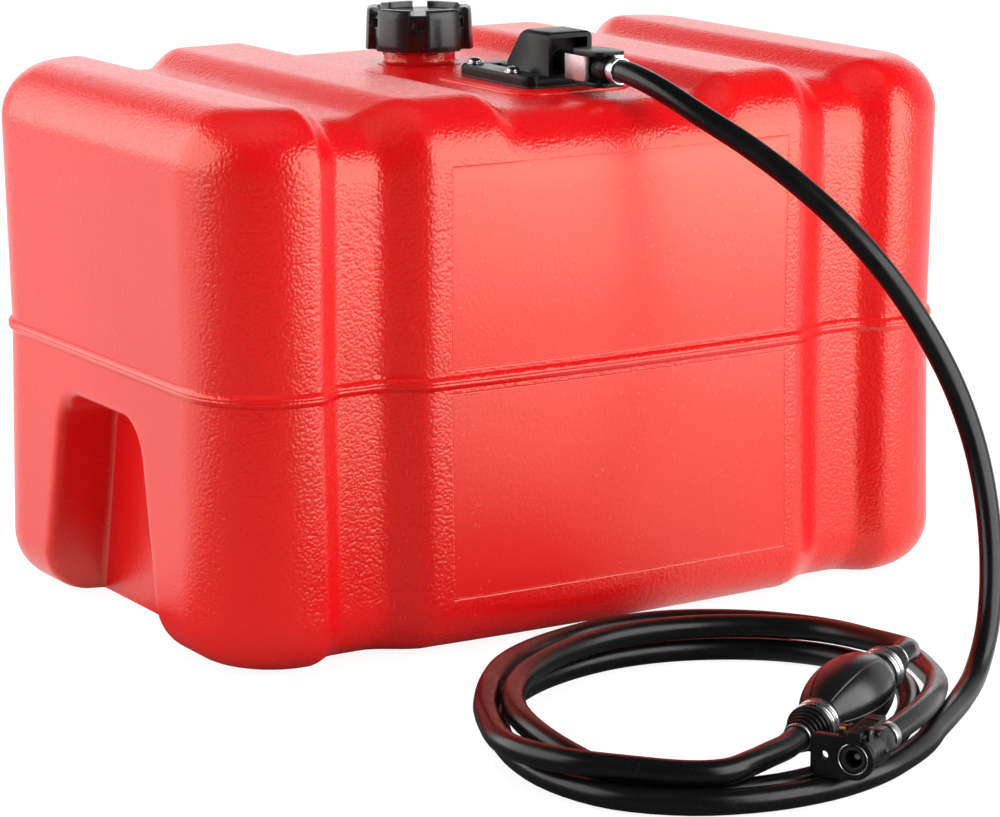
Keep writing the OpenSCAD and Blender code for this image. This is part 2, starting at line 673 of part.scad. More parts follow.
module hose_coil() {
    inlet_line = fine(concat(lead_path, coil_path), 4);
    echo(inlet_line_gap = strand_gap(inlet_line, inlet_line, 30));
    echo(outlet_line_gap = strand_gap(inlet_line, fine(tail_path, 4), -1));
    echo(lengths = [path_length(lead_path), path_length(coil_path), path_length(tail_path)]);
    color(rubber) tube(coil_path, hose_r, coil_sides, [0, 0, 1]);
}

module hose_tail() color(rubber) tube(tail_path, hose_r, hose_sides, [0, 0, 1]);

// ------------------------------------------------------------- primer bulb

bulb_r = bulb_d / 2;
bulb_wall = 3;
neck_r = 13;                          // outside of the bulb's necks
neck_end = bulb_l / 2 + 13;
plug_r = 9;
plug_l = 19;
ball_r = 4;
ball_room_r = 4.5;
seat_r = 2.4;
plug_end = neck_end - plug_l;
band_w = 4.4;

// A shape drawn along +Z becomes one that runs along the bulb's axis
module at_bulb(x) {
    translate(bulb_at) rotate([0, -bulb_rise, bulb_heading]) translate([x, 0, 0]) rotate([0, 90, 0]) children();
}

function egg(r, l, low, x) = max(low, r * sqrt(max(0, 1 - pow(x / l, 2))));

module bulb_shell() color(rubber) at_bulb(0) {
    half = bulb_l / 2;
    rotate_extrude() polygon(concat(
        [[neck_r, -neck_end]],
        [for (i = [-10 : 10]) [egg(bulb_r, half + 5, neck_r, i * half / 10), i * half / 10]],
        [[neck_r, neck_end], [plug_r + run_gap, neck_end]],
        [for (i = [10 : -1 : -10]) [egg(bulb_r - bulb_wall, half + 2, plug_r + run_gap, i * half / 10), i * half / 10]],
        [[plug_r + run_gap, -neck_end]]));
}

module bulb_bands() color(silver) at_bulb(0)
    for (side = [-1, 1], x = [neck_end - 1 - band_w, neck_end - 2.2 - 2 * band_w])
        translate([0, 0, side > 0 ? x : -x - band_w]) difference() {
            cylinder(r = neck_r + 1.3, h = band_w);
            translate([0, 0, -eps]) cylinder(r = neck_r + run_gap, h = band_w + 1);
        }

// Valve plug, ribbed cuff and hose barb, drawn outward along +Z
module valve_end(seat_low) {
    difference() {
        union() {
            translate([0, 0, plug_end]) cylinder(r = plug_r, h = plug_l);
            translate([0, 0, neck_end]) cylinder(r = neck_r + 0.8, h = 3);
            for (i = [0 : 3]) translate([0, 0, neck_end + 3 + i * 3.5]) {
                cylinder(r = neck_r - 0.5 - i * 0.9, h = 2.2);
                cylinder(r = neck_r - 2 - i * 0.9, h = 3.5);
            }
            for (i = [0 : 2]) translate([0, 0, cuff_end + i * barb_l / 3])
                cylinder(r1 = stem_r + 1, r2 = stem_r + 0.3, h = barb_l / 3);
        }
        translate([0, 0, plug_end - 1]) cylinder(r = seat_low ? seat_r : 3.2, h = 5);
        translate([0, 0, plug_end + 2]) cylinder(r = ball_room_r, h = 12);
        translate([0, 0, plug_end + 13]) cylinder(r = seat_r, h = 60);
    }
}

module bulb_inlet() color(black) at_bulb(0) valve_end(false);

module bulb_outlet() color(black) at_bulb(0) mirror([0, 0, 1]) valve_end(true);

ball_seat = sqrt(ball_r * ball_r - seat_r * seat_r) + 0.1;

module inlet_ball() color(steel) at_bulb(plug_end + 14 - ball_seat) sphere(r = ball_r);

module outlet_ball() color(steel) at_bulb(-plug_end - 2 - ball_seat) sphere(r = ball_r);

module bulb_hose_rings() color(silver) at_bulb(0)
    for (side = [-1, 1]) translate([0, 0, side > 0 ? cuff_end + seat_gap : -cuff_end - seat_gap - 2]) hose_ring(2, 1.4);

// ------------------------------------------------------- engine connector

face_h = 24.6;                        // height of the face plate
face_t = 5;
face_l = 26;                          // from the port to the plate's far edge
engine_barrel_r = 10.8;
engine_barrel_end = 22;
hex_end = 36;
hex_r = 11.8;
port_l = 14;
port_recess_r = 7.5;
port_recess_l = 2;
plunger_r = 2.4;
plunger_tip = 6;
plunger_guide_r = 4.4;
plunger_travel = 3.5;
spring_room_end = 29;
lever_x = 9;                          // latch pin behind the plate's face
lever_z = 14.6;
lever_w = 10;
lever_t = 2.8;
lever_pin_r = 1.2;
ear_t = 2;

// Local frame: +X back along the connector, +Y towards the guide hole
module at_engine() {
    translate(engine_at) rotate([0, 0, engine_heading]) children();
}

// A shape drawn along +Z becomes one that runs back from the port's face
module into_engine(x) {
    at_engine() translate([x, 0, 0]) rotate([0, 90, 0]) children();
}

module engine_connector_body() color(black) difference() {
    union() {
        into_engine(0) cylinder(r = face_h / 2, h = face_t);
        at_engine() difference() {
            translate([0, 0, -face_h / 2]) cube([face_t, face_l, face_h]);
            for (z = [-1, 1]) translate([-1, face_l - 3, z * (face_h / 2 - 3)]) rotate([0, 90, 0]) difference() {
                translate([z > 0 ? -4 : 0, 0, 0]) cube([4, 4, face_t + 2]);
                cylinder(r = 3, h = face_t + 2);
            }
        }
        into_engine(face_t - 1) cylinder(r = engine_barrel_r, h = engine_barrel_end - face_t + 1);
        into_engine(engine_barrel_end - 1) rotate([0, 0, 30]) cylinder(r = hex_r, h = hex_end - engine_barrel_end + 1, $fn = 6);
        into_engine(hex_end - 1) cylinder(r = stem_r + 4.6, h = engine_back - hex_end + 1);
        at_engine() for (side = [-1, 1])
            translate([lever_x - 3, side * (lever_w / 2 + seat_gap + ear_t / 2) - ear_t / 2, 6])
                cube([6, ear_t, lever_z - 6 + 2.6]);
    }
    into_engine(-1) cylinder(r = port_recess_r, h = port_recess_l + 1);
    into_engine(-1) difference() {
        cylinder(r = 9.2, h = 1.6);
        translate([0, 0, -1]) cylinder(r = 8.6, h = 4);
    }
    into_engine(0) cylinder(d = port_bore, h = port_l);
    into_engine(port_l - 1) cylinder(r = plunger_guide_r + run_gap, h = spring_room_end - port_l + 1);
    into_engine(spring_room_end - 1) cylinder(r = 2.6, h = 20);
    into_engine(engine_back - stem_in) cylinder(r = stem_r, h = stem_in + 1);
    at_engine() translate([-1, guide_spacing, 0]) rotate([0, 90, 0]) cylinder(d = guide_bore, h = face_t + 2);
    at_engine() translate([lever_x, 20, lever_z]) rotate([90, 0, 0]) cylinder(r = lever_pin_r, h = 40);
}

module engine_stem() color(steel) into_engine(engine_back - stem_in) stem();

module engine_plunger() color(silver) into_engine(plunger_tip) {
    translate([0, 0, 0.6]) cylinder(r = plunger_r, h = port_l - plunger_tip);
    cylinder(r1 = plunger_r - 0.6, r2 = plunger_r, h = 0.6);
    translate([0, 0, port_l + 0.3 - plunger_tip]) cylinder(r = plunger_guide_r, h = 3);
}

module engine_plunger_spring() color(steel) into_engine(port_l + 3.8 + plunger_travel) difference() {
    cylinder(r = plunger_guide_r - 0.2, h = spring_room_end - port_l - 3.8 - plunger_travel);
    translate([0, 0, -eps]) cylinder(r = plunger_guide_r - 0.9, h = 30);
}

module engine_port_seal() color(rubber) into_engine(0.4) difference() {
    cylinder(r = port_recess_r, h = port_recess_l - 0.4);
    translate([0, 0, -eps]) cylinder(d = port_bore + 0.6, h = port_recess_l + 1);
}

module engine_latch() color(black) at_engine() difference() {
    union() {
        translate([-2.2, -lever_w / 2, lever_z - 1.2]) cube([hex_end + 2, lever_w, lever_t]);
        translate([-2.2, -lever_w / 2, face_h / 2 - 3]) cube([1.8, lever_w, lever_z - face_h / 2 + 3]);
        for (i = [0 : 4]) translate([hex_end - 10 + i * 2, -lever_w / 2, lever_z]) cube([1, lever_w, lever_t - 0.6]);
    }
    translate([lever_x, 20, lever_z]) rotate([90, 0, 0]) cylinder(r = lever_pin_r + run_gap, h = 40);
}

pin_half = lever_w / 2 + seat_gap + ear_t;

module engine_latch_pin() color(steel) at_engine() translate([lever_x, pin_half + 4.6, lever_z]) rotate([90, 0, 0])
    cylinder(r = lever_pin_r, h = 2 * pin_half + 4.6);

module engine_latch_spring() color(brass) at_engine() translate([lever_x, pin_half + 4.2, lever_z]) rotate([90, 0, 0])
    difference() {
        cylinder(r = 2.4, h = 4);
        translate([0, 0, -eps]) cylinder(r = lever_pin_r + run_gap, h = 5);
    }

module engine_hose_clamp() color(silver) into_engine(engine_back + 2) crimp_clamp();

tank_shell();
threaded_inserts();
filler_cap();
cap_gasket();
vent_body();
vent_disc();
vent_spring();
pickup_gasket();
pickup_housing();
screw_washers();
pickup_screws();
dip_tube();
strainer();
tank_nipple();
nipple_oring();
connector_body();
connector_latch();
latch_pin();
latch_spring();
connector_valve();
connector_valve_spring();
connector_stem();
tank_hose_clamp();
hose_lead();
hose_coil();
bulb_shell();
bulb_bands();
bulb_inlet();
bulb_outlet();
inlet_ball();
outlet_ball();
bulb_hose_rings();
hose_tail();
engine_hose_clamp();
engine_connector_body();
engine_stem();
engine_latch();
engine_latch_pin();
engine_latch_spring();
engine_plunger();
engine_plunger_spring();
engine_port_seal();
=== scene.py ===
import json
import math

import bmesh
import bpy
from mathutils import Matrix, Quaternion, Vector

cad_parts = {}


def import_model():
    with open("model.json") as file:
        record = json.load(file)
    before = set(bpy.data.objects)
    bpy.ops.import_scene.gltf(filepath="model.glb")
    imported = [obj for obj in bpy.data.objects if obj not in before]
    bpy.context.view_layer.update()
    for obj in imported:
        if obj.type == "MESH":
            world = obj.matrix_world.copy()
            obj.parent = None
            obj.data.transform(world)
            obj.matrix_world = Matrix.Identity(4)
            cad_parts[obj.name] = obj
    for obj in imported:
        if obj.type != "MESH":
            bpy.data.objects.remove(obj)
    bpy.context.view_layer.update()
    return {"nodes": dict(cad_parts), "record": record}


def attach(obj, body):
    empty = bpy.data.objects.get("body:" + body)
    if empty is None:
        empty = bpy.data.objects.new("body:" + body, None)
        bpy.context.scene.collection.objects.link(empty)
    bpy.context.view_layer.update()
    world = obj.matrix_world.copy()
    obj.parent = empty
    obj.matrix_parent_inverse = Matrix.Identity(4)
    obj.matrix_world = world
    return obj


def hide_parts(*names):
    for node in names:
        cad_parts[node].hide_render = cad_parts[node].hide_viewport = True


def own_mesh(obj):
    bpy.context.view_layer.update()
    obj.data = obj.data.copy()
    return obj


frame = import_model()
NODES = frame["nodes"]
MM = 0.001      # shapes are worked out in mm, and Blender's lengths are metres

# ---------------------------------------------------------------- camera


CAMERA_AT = (-1.287, -2.138, 0.669)
CAMERA_TURN, CAMERA_DOWN, CAMERA_ROLL = 31.49, 12.57, 0.215     # degrees
CAMERA_LENS = 131.4


def make_camera():
    """Long lens from the front left, a little above the tank."""
    azimuth, down = math.radians(CAMERA_TURN), math.radians(CAMERA_DOWN)
    data = bpy.data.cameras.new("camera")
    data.lens = CAMERA_LENS
    data.sensor_width = 36
    data.clip_start = 0.1
    data.clip_end = 60
    camera = bpy.data.objects.new("camera", data)
    forward = Vector((math.sin(azimuth) * math.cos(down), math.cos(azimuth) * math.cos(down), -math.sin(down)))
    turn = forward.to_track_quat("-Z", "Y") @ Quaternion((0, 0, 1), -math.radians(CAMERA_ROLL))
    camera.matrix_world = Matrix.Translation(CAMERA_AT) @ turn.to_matrix().to_4x4()
    bpy.context.scene.collection.objects.link(camera)
    bpy.context.scene.camera = camera


make_camera()

# ------------------------------------------------------------ shader groups


def shader_group(name, inputs, outputs):
    """A new group with named sockets: its tree, the sockets it reads and the sockets it fills."""
    tree = bpy.data.node_groups.new(name, "ShaderNodeTree")
    for label, kind, value in inputs:
        socket = tree.interface.new_socket(label, in_out="INPUT", socket_type=kind)
        if value is not None:
            socket.default_value = value
    for label, kind in outputs:
        tree.interface.new_socket(label, in_out="OUTPUT", socket_type=kind)
    return tree, tree.nodes.new("NodeGroupInput").outputs, tree.nodes.new("NodeGroupOutput").inputs


def add(tree, kind, settings=None, **values):
    """A new node; values are constants or sockets for its inputs, i0 being its first input."""
    node = tree.nodes.new(kind)
    for key, value in (settings or {}).items():
        setattr(node, key, value)
    for key, value in values.items():
        name = key.replace("_", " ")
        socket = node.inputs[int(key[1:])] if key[0] == "i" and key[1:].isdigit() else node.inputs[name]
        if isinstance(value, bpy.types.NodeSocket):
            tree.links.new(value, socket)
        else:
            socket.default_value = value
    return node


def maths(tree, what, a, b=0.0, c=0.0, clamp=False):
    return add(tree, "ShaderNodeMath", {"operation": what, "use_clamp": clamp}, i0=a, i1=b, i2=c).outputs[0]


def remap(tree, value, low, high, to_low, to_high, smooth=False):
    kind = "SMOOTHSTEP" if smooth else "LINEAR"
    return add(tree, "ShaderNodeMapRange", {"interpolation_type": kind}, Value=value, From_Min=low, From_Max=high,
               To_Min=to_low, To_Max=to_high).outputs[0]


def mix_colour(tree, share, first, second):
    """Blend of two colours, each a socket or three numbers, by a mask."""
    node = add(tree, "ShaderNodeMix", {"data_type": "RGBA"}, Factor=share)
    for socket, colour in ((node.inputs[6], first), (node.inputs[7], second)):
        if isinstance(colour, bpy.types.NodeSocket):
            tree.links.new(colour, socket)
        else:
            socket.default_value = (*colour, 1)
    return node.outputs[2]


def moulded_grain():
    """Pebbled skin of a blown or moulded part: rounded cells with finer ripples between them."""
    tree, gin, gout = shader_group(
        "moulded_grain",
        [("Vector", "NodeSocketVector", None), ("Cells", "NodeSocketFloat", 450.0),
         ("Ripple", "NodeSocketFloat", 0.35)],
        [("Height", "NodeSocketFloat"), ("Pits", "NodeSocketFloat")])
    cells = add(tree, "ShaderNodeTexVoronoi", {"feature": "SMOOTH_F1"}, Vector=gin["Vector"], Scale=gin["Cells"],
                Smoothness=0.6, Randomness=1.0)
    ripple = add(tree, "ShaderNodeTexNoise", Vector=gin["Vector"], Scale=maths(tree, "MULTIPLY", gin["Cells"], 0.55),
                 Detail=3.0, Roughness=0.5)
    dome = maths(tree, "SUBTRACT", 1.0, maths(tree, "POWER", cells.outputs["Distance"], 1.6))
    height = maths(tree, "ADD", dome, maths(tree, "MULTIPLY", ripple.outputs[0], gin["Ripple"]))
    tree.links.new(height, gout["Height"])
    # Pits marks the hollows between the cells, where tank_red paints shade into its colour
    tree.links.new(remap(tree, cells.outputs["Distance"], 0.35, 0.8, 0.0, 1.0, True), gout["Pits"])
    return tree


def handling_marks():
    """Soft cloudy wear and a few hair scratches from handling."""
    tree, gin, gout = shader_group(
        "handling_marks",
        [("Vector", "NodeSocketVector", None), ("Size", "NodeSocketFloat", 14.0),
         ("Hairs", "NodeSocketFloat", 60.0)],
        [("Cloud", "NodeSocketFloat"), ("Scratch", "NodeSocketFloat")])
    cloud = add(tree, "ShaderNodeTexNoise", Vector=gin["Vector"], Scale=gin["Size"], Detail=5.0, Roughness=0.6)
    stretched = add(tree, "ShaderNodeMapping", Vector=gin["Vector"], Rotation=(0.4, 0.9, 0.6), Scale=(1.0, 14.0, 1.0))
    hair = add(tree, "ShaderNodeTexNoise", Vector=stretched.outputs[0], Scale=gin["Hairs"], Detail=2.0, Roughness=0.5)
    tree.links.new(remap(tree, cloud.outputs[0], 0.35, 0.7, 0.0, 1.0, True), gout["Cloud"])
    tree.links.new(remap(tree, hair.outputs[0], 0.66, 0.72, 0.0, 1.0, True), gout["Scratch"])
    return tree


def settled_dust():
    """Fine dust, thicker on faces that look up."""
    tree, gin, gout = shader_group(
        "settled_dust", [("Vector", "NodeSocketVector", None), ("Amount", "NodeSocketFloat", 0.3)],
        [("Mask", "NodeSocketFloat")])
    surface = tree.nodes.new("ShaderNodeNewGeometry")
    up = add(tree, "ShaderNodeSeparateXYZ", Vector=surface.outputs["Normal"]).outputs["Z"]
    specks = add(tree, "ShaderNodeTexNoise", Vector=gin["Vector"], Scale=900.0, Detail=2.0, Roughness=0.7)
    spread = remap(tree, specks.outputs[0], 0.5, 0.75, 0.0, 1.0)
    settled = maths(tree, "MULTIPLY", remap(tree, up, 0.2, 1.0, 0.15, 1.0), spread)
    tree.links.new(maths(tree, "MULTIPLY", settled, gin["Amount"]), gout["Mask"])
    return tree


GRAIN = moulded_grain()
MARKS = handling_marks()
DUST = settled_dust()
DUST_GREY = (0.33, 0.32, 0.31)


def use_group(tree, group, vector, **values):
    """Places a shader group and sets some of its inputs; gives its outputs."""
    node = tree.nodes.new("ShaderNodeGroup")
    node.node_tree = group
    tree.links.new(vector, node.inputs["Vector"])
    for key, value in values.items():
        node.inputs[key].default_value = value
    return node.outputs


def new_finish(name):
    """A new material, its tree, its shader and the object coordinates that its pattern follows."""
    material = bpy.data.materials.new(name)
    material.use_nodes = True
    tree = material.node_tree
    shader = next(n for n in tree.nodes if n.type == "BSDF_PRINCIPLED")
    where = tree.nodes.new("ShaderNodeTexCoord").outputs["Object"]
    return material, tree, shader, where


def moulded(name, colour, rough, cells, strength=0.25, coat=0.0, worn=0.06, dust=0.12, scratched=0.5, level=0.5):
    """Moulded plastic or rubber: grain, cloudy gloss, hair scratches and a breath of dust."""
    material, tree, shader, where = new_finish(name)
    grain = use_group(tree, GRAIN, where, Cells=cells)
    marks = use_group(tree, MARKS, where, Size=20.0)
    dusty = use_group(tree, DUST, where, Amount=dust)
    pale = tuple(0.75 * c + 0.06 for c in colour)
    worn_in = mix_colour(tree, maths(tree, "MULTIPLY", marks["Scratch"], scratched), colour, pale)
    tree.links.new(mix_colour(tree, dusty["Mask"], worn_in, DUST_GREY), shader.inputs["Base Color"])
    gloss = maths(tree, "ADD", remap(tree, marks["Cloud"], 0.0, 1.0, rough - worn, rough + worn),
                  maths(tree, "MULTIPLY", dusty["Mask"], 0.3))
    rubbed = maths(tree, "MULTIPLY", marks["Scratch"], 0.06)
    tree.links.new(maths(tree, "ADD", gloss, rubbed), shader.inputs["Roughness"])
    bump = add(tree, "ShaderNodeBump", Strength=strength, Distance=0.00006, Height=grain["Height"])
    tree.links.new(bump.outputs[0], shader.inputs["Normal"])
    shader.inputs["Coat Weight"].default_value = coat
    shader.inputs["Coat Roughness"].default_value = 0.25
    shader.inputs["Specular IOR Level"].default_value = level
    return material


def metal(name, colour, rough, worn=0.08, relief=0.15):
    """Plated or plain metal with cloudy tarnish and rub marks."""
    material, tree, shader, where = new_finish(name)
    marks = use_group(tree, MARKS, where, Size=120.0, Hairs=260.0)
    dark = tuple(0.55 * c for c in colour)
    tarnished = mix_colour(tree, maths(tree, "MULTIPLY", marks["Cloud"], 0.25), colour, dark)
    tree.links.new(tarnished, shader.inputs["Base Color"])
    gloss = remap(tree, marks["Cloud"], 0.0, 1.0, rough - worn, rough + worn)
    rubbed = maths(tree, "MULTIPLY", marks["Scratch"], 0.15)
    tree.links.new(maths(tree, "ADD", gloss, rubbed), shader.inputs["Roughness"])
    shader.inputs["Metallic"].default_value = 1.0
    bump = add(tree, "ShaderNodeBump", Strength=relief, Distance=0.00003, Height=marks["Scratch"])
    tree.links.new(bump.outputs[0], shader.inputs["Normal"])
    return material


def box_mask(tree, where, low, high, soft):
    """1 inside a box in the object's own coordinates, fading over soft; None leaves a side open."""
    split = add(tree, "ShaderNodeSeparateXYZ", Vector=where).outputs
    mask = None
    for axis in range(3):
        for limit, sign in ((low[axis], 1.0), (high[axis], -1.0)):
            if limit is None:
                continue
            inside = remap(tree, maths(tree, "MULTIPLY", maths(tree, "SUBTRACT", split[axis], limit), sign),
                           -soft, soft, 0.0, 1.0)
            mask = inside if mask is None else maths(tree, "MINIMUM", mask, inside)
    return mask


# The two smooth fields on the tank's front and the smooth middles of its ends, in metres
FIELD_LEFT, FIELD_RIGHT, FIELD_BACK = -0.128, 0.131, -0.17
FIELD_HEIGHTS = ((0.038, 0.172), (0.188, 0.318))
FIELD_RIM = 0.0008
END_FROM, END_HALF, END_TOP, END_FADE = 0.242, 0.13, 0.32, 0.02


def tank_red():
    """Blow-moulded red polyethylene: pebbled, but smooth on the front's two fields and the ends' middles."""
    material, tree, shader, where = new_finish("tank_red")
    grain = use_group(tree, GRAIN, where, Cells=480.0, Ripple=0.5)
    marks = use_group(tree, MARKS, where, Hairs=150.0)
    dusty = use_group(tree, DUST, where, Amount=0.05)

    def field_mask(bottom, top, grown, soft):
        return box_mask(tree, where, (FIELD_LEFT - grown, None, bottom - grown),
                        (FIELD_RIGHT + grown, FIELD_BACK, top + grown), soft)

    field = maths(tree, "MAXIMUM", *(field_mask(low, high, 0, 0.0006) for low, high in FIELD_HEIGHTS))
    rims = [maths(tree, "SUBTRACT", field_mask(low, high, FIELD_RIM, 0.0003), field_mask(low, high, 0, 0.0003))
            for low, high in FIELD_HEIGHTS]
    rim = maths(tree, "MAXIMUM", *rims, clamp=True)
    ends = maths(tree, "MAXIMUM",
                 box_mask(tree, where, (None, -END_HALF, None), (-END_FROM, END_HALF, END_TOP), END_FADE),
                 box_mask(tree, where, (END_FROM, -END_HALF, None), (None, END_HALF, END_TOP), END_FADE))
    smoothed = maths(tree, "MAXIMUM", maths(tree, "MULTIPLY", field, 0.82), maths(tree, "MULTIPLY", ends, 0.8),
                     clamp=True)
    grainy = maths(tree, "SUBTRACT", 1.0, smoothed)
    shade = add(tree, "ShaderNodeTexNoise", Vector=where, Scale=5.0, Detail=3.0, Roughness=0.55).outputs[0]
    body = mix_colour(tree, remap(tree, shade, 0.3, 0.7, 0.0, 1.0, True), (0.74, 0.003, 0.006), (0.68, 0.002, 0.005))
    # painted shade: the grain's hollows are darkened towards a deep red, as if shade fell in them
    hollow_shade = maths(tree, "MULTIPLY", maths(tree, "MULTIPLY", grain["Pits"], grainy), 0.10)
    shaded_in_hollows = mix_colour(tree, hollow_shade, body, (0.42, 0.002, 0.004))
    tree.links.new(mix_colour(tree, dusty["Mask"], shaded_in_hollows, (0.75, 0.35, 0.32)), shader.inputs["Base Color"])
    rubbed = maths(tree, "MULTIPLY", marks["Scratch"], 0.02)
    tree.links.new(maths(tree, "ADD", remap(tree, shade, 0.3, 0.7, 0.24, 0.28), rubbed), shader.inputs["Roughness"])
    relief = maths(tree, "SUBTRACT", maths(tree, "MULTIPLY", grain["Height"], grainy),
                   maths(tree, "MULTIPLY", rim, 0.8))
    bump = add(tree, "ShaderNodeBump", Strength=0.5, Distance=0.00055, Height=relief)
    tree.links.new(bump.outputs[0], shader.inputs["Normal"])
    shader.inputs["Specular IOR Level"].default_value = 0.8
    shader.inputs["Specular Tint"].default_value = (1.0, 0.93, 0.72, 1)
    return material


FINISH = {
    "tank_red": tank_red(),
    "cap_black": moulded("cap_black", (0.008, 0.008, 0.009), 0.27, cells=900.0, strength=0.015, worn=0.02, dust=0.04,
                         scratched=0.1, level=0.6),
    "pickup_black": moulded("pickup_black", (0.006, 0.006, 0.006), 0.29, cells=1100.0, strength=0.10, worn=0.03,
                            dust=0.05, level=0.16),
    "seal_rubber": moulded("seal_rubber", (0.008, 0.008, 0.008), 0.5, cells=1400.0, strength=0.2, dust=0.03),
    "hose_rubber": moulded("hose_rubber", (0.003, 0.003, 0.003), 0.31, cells=1500.0, strength=0.06, dust=0.01,
                           scratched=0.05, level=0.42),
    "bulb_rubber": moulded("bulb_rubber", (0.004, 0.004, 0.004), 0.30, cells=1200.0, strength=0.05, coat=0.15,
                           dust=0.01, scratched=0.05),
    "zinc_plate": metal("zinc_plate", (0.60, 0.60, 0.62), 0.30, relief=0.03),
    "latch_plate": metal("latch_plate", (0.54, 0.42, 0.44), 0.42, worn=0.04, relief=0.05),
    "steel": metal("steel", (0.50, 0.51, 0.53), 0.32),
    "brass": metal("brass", (0.68, 0.46, 0.17), 0.30),
    "natural_plastic": moulded("natural_plastic", (0.72, 0.70, 0.62), 0.42, cells=900.0, dust=0.02),
}
SLOT_OF = {entry["node"]: entry["material_slot"] for entry in frame["record"]["subparts"]}
OWN_FINISH = {"connector_latch": "latch_plate"}
BODY_OF = {node: body for body, nodes in frame["record"]["behaviour"]["bodies"].items() for node in nodes}


for node_name, node_object in NODES.items():
    for place in node_object.material_slots:
        place.link = "OBJECT"
        place.material = FINISH[SLOT_OF[node_name]]

# ------------------------------------------------------------ piece helpers

EDGE_ANGLE = 32.0       # degrees between two faces from which their edge counts as one


def put(name, bm, body, slot, sharp, stands_for=(), finish=None):
    """Makes the mesh an object at the origin, rides it on its body and hides the parts it stands for."""
    mesh = bpy.data.meshes.new(name)
    bm.to_mesh(mesh)
    bm.free()
    mesh.shade_smooth()
    if sharp:
        mesh.set_sharp_from_angle(angle=math.radians(sharp))
    mesh.materials.append(FINISH[finish or slot])
    piece = bpy.data.objects.new(name, mesh)
    bpy.context.scene.collection.objects.link(piece)
    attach(piece, body)
    if stands_for:
        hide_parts(*stands_for)
    return piece


def outward(bm):
    bmesh.ops.recalc_face_normals(bm, faces=bm.faces)


def ease_edges(bm, edges, width, segments, clamp=False):
    """Rounds the edges off, over a width in metres."""
    bmesh.ops.bevel(bm, geom=edges, offset=width, offset_type="OFFSET", segments=segments, profile=0.5,
                    affect="EDGES", clamp_overlap=clamp, material=-1)


def rounded_copy(node, width, flat=1.0):
    """The node's own shape with its edges eased; faces that meet within flat degrees are joined first."""
    bm = bmesh.new()
    bm.from_mesh(NODES[node].data)
    bmesh.ops.remove_doubles(bm, verts=bm.verts, dist=0.00001)
    bmesh.ops.dissolve_limit(bm, angle_limit=math.radians(flat), verts=bm.verts, edges=bm.edges)
    edges = [e for e in bm.edges if len(e.link_faces) == 2 and e.calc_face_angle(0) > math.radians(EDGE_ANGLE)]
    ease_edges(bm, edges, width, 2, True)
    return put(node + "_eased", bm, BODY_OF[node], SLOT_OF[node], EDGE_ANGLE, (node,), OWN_FINISH.get(node))


def lathe(profile, place, steps=96):
    """Closed ring of profile points [radius, height] in mm, spun about +Z and moved by place."""
    bm = bmesh.new()
    verts = [bm.verts.new((r * MM, 0, z * MM)) for r, z in profile]
    edges = [bm.edges.new((verts[i], verts[(i + 1) % len(verts)])) for i in range(len(verts))]
    bmesh.ops.spin(bm, geom=verts + edges, cent=(0, 0, 0), axis=(0, 0, 1), angle=2 * math.pi, steps=steps,
                   use_merge=True, use_duplicate=False)
    bmesh.ops.remove_doubles(bm, verts=bm.verts, dist=0.000002)
    outward(bm)
    bmesh.ops.transform(bm, matrix=place, verts=bm.verts)
    return bm


def at(x, y, z):
    return Matrix.Translation((x * MM, y * MM, z * MM))


# ------------------------------------------------------------------- hoses

HOSE_R = 7.5
REST_Z = HOSE_R + 0.2       # height of the hose's middle where it lies on the floor
RUN_IN = 16                 # straight stretch at each end
BULB_AT = Vector((-25, -472, 28.5))
ENGINE_AT = Vector((-94, -569, 28.5))


def heading(turn, rise):
    """Direction turned from +X in plan and raised, both in degrees."""
    a, e = math.radians(turn), math.radians(rise)
    return Vector((math.cos(a) * math.cos(e), math.sin(a) * math.cos(e), math.sin(e)))


BULB_AXIS = heading(30, 3.5)
ENGINE_AXIS = heading(30, 0)
CUFF_END = 72               # from the bulb's middle to where its hoses begin
ENGINE_BACK = 42            # from the engine connector's face to where its hose ends
LEAD_START = Vector((14, -158, 366.5))
LEAD_JOIN = Vector((33.2, -488.5, REST_Z))
JOIN_DIR = Vector((-0.8, -0.6, 0))
COIL_END = BULB_AT + BULB_AXIS * CUFF_END
TAIL_START = BULB_AT - BULB_AXIS * CUFF_END
TAIL_END = ENGINE_AT + ENGINE_AXIS * ENGINE_BACK

LEAD_ROUTE = [
    LEAD_START, LEAD_START - Vector((0, RUN_IN, 0)), (18, -202, 360), (31, -232, 344.5), (49, -262, 326),
    (68, -292, 303), (89, -319, 274), (111, -342, 237), (130, -361, 194), (141, -375, 154), (144, -388, 115),
    (139, -402, 76), (125, -418, 40), (101, -437, 16), (72, -459, 8.6), LEAD_JOIN - JOIN_DIR * RUN_IN, LEAD_JOIN]
COIL_CENTRE = (-58, -412)
COIL_STATIONS = [           # angle, radius, height above the floor
    (56, 117, 0), (73, 121, 0), (95, 136, 0), (113, 152, 0), (129, 166, 0), (140, 173, 0), (151, 175, 0),
    (161, 172, 0), (173, 165, 0), (185, 157, 0), (202, 150, 0), (219, 146, 0), (250, 142, 0), (278, 143, 0),
    (315, 141, 0), (335, 137, 0), (355, 125, 0), (380, 104, 0), (400, 96, 0), (418, 97, 0), (435, 104, 0),
    (455, 117, 0), (473, 133, 0), (489, 149, 0), (500, 156, 1), (511, 158, 4.5), (521, 156, 9.5), (533, 152, 14.5),
    (545, 148, 16), (559, 142, 16), (579, 136, 16), (600, 133, 16), (617, 134, 16), (636, 137, 16), (654, 138, 16),
    (672, 139, 16), (688, 139, 16), (702, 137, 16.5)]
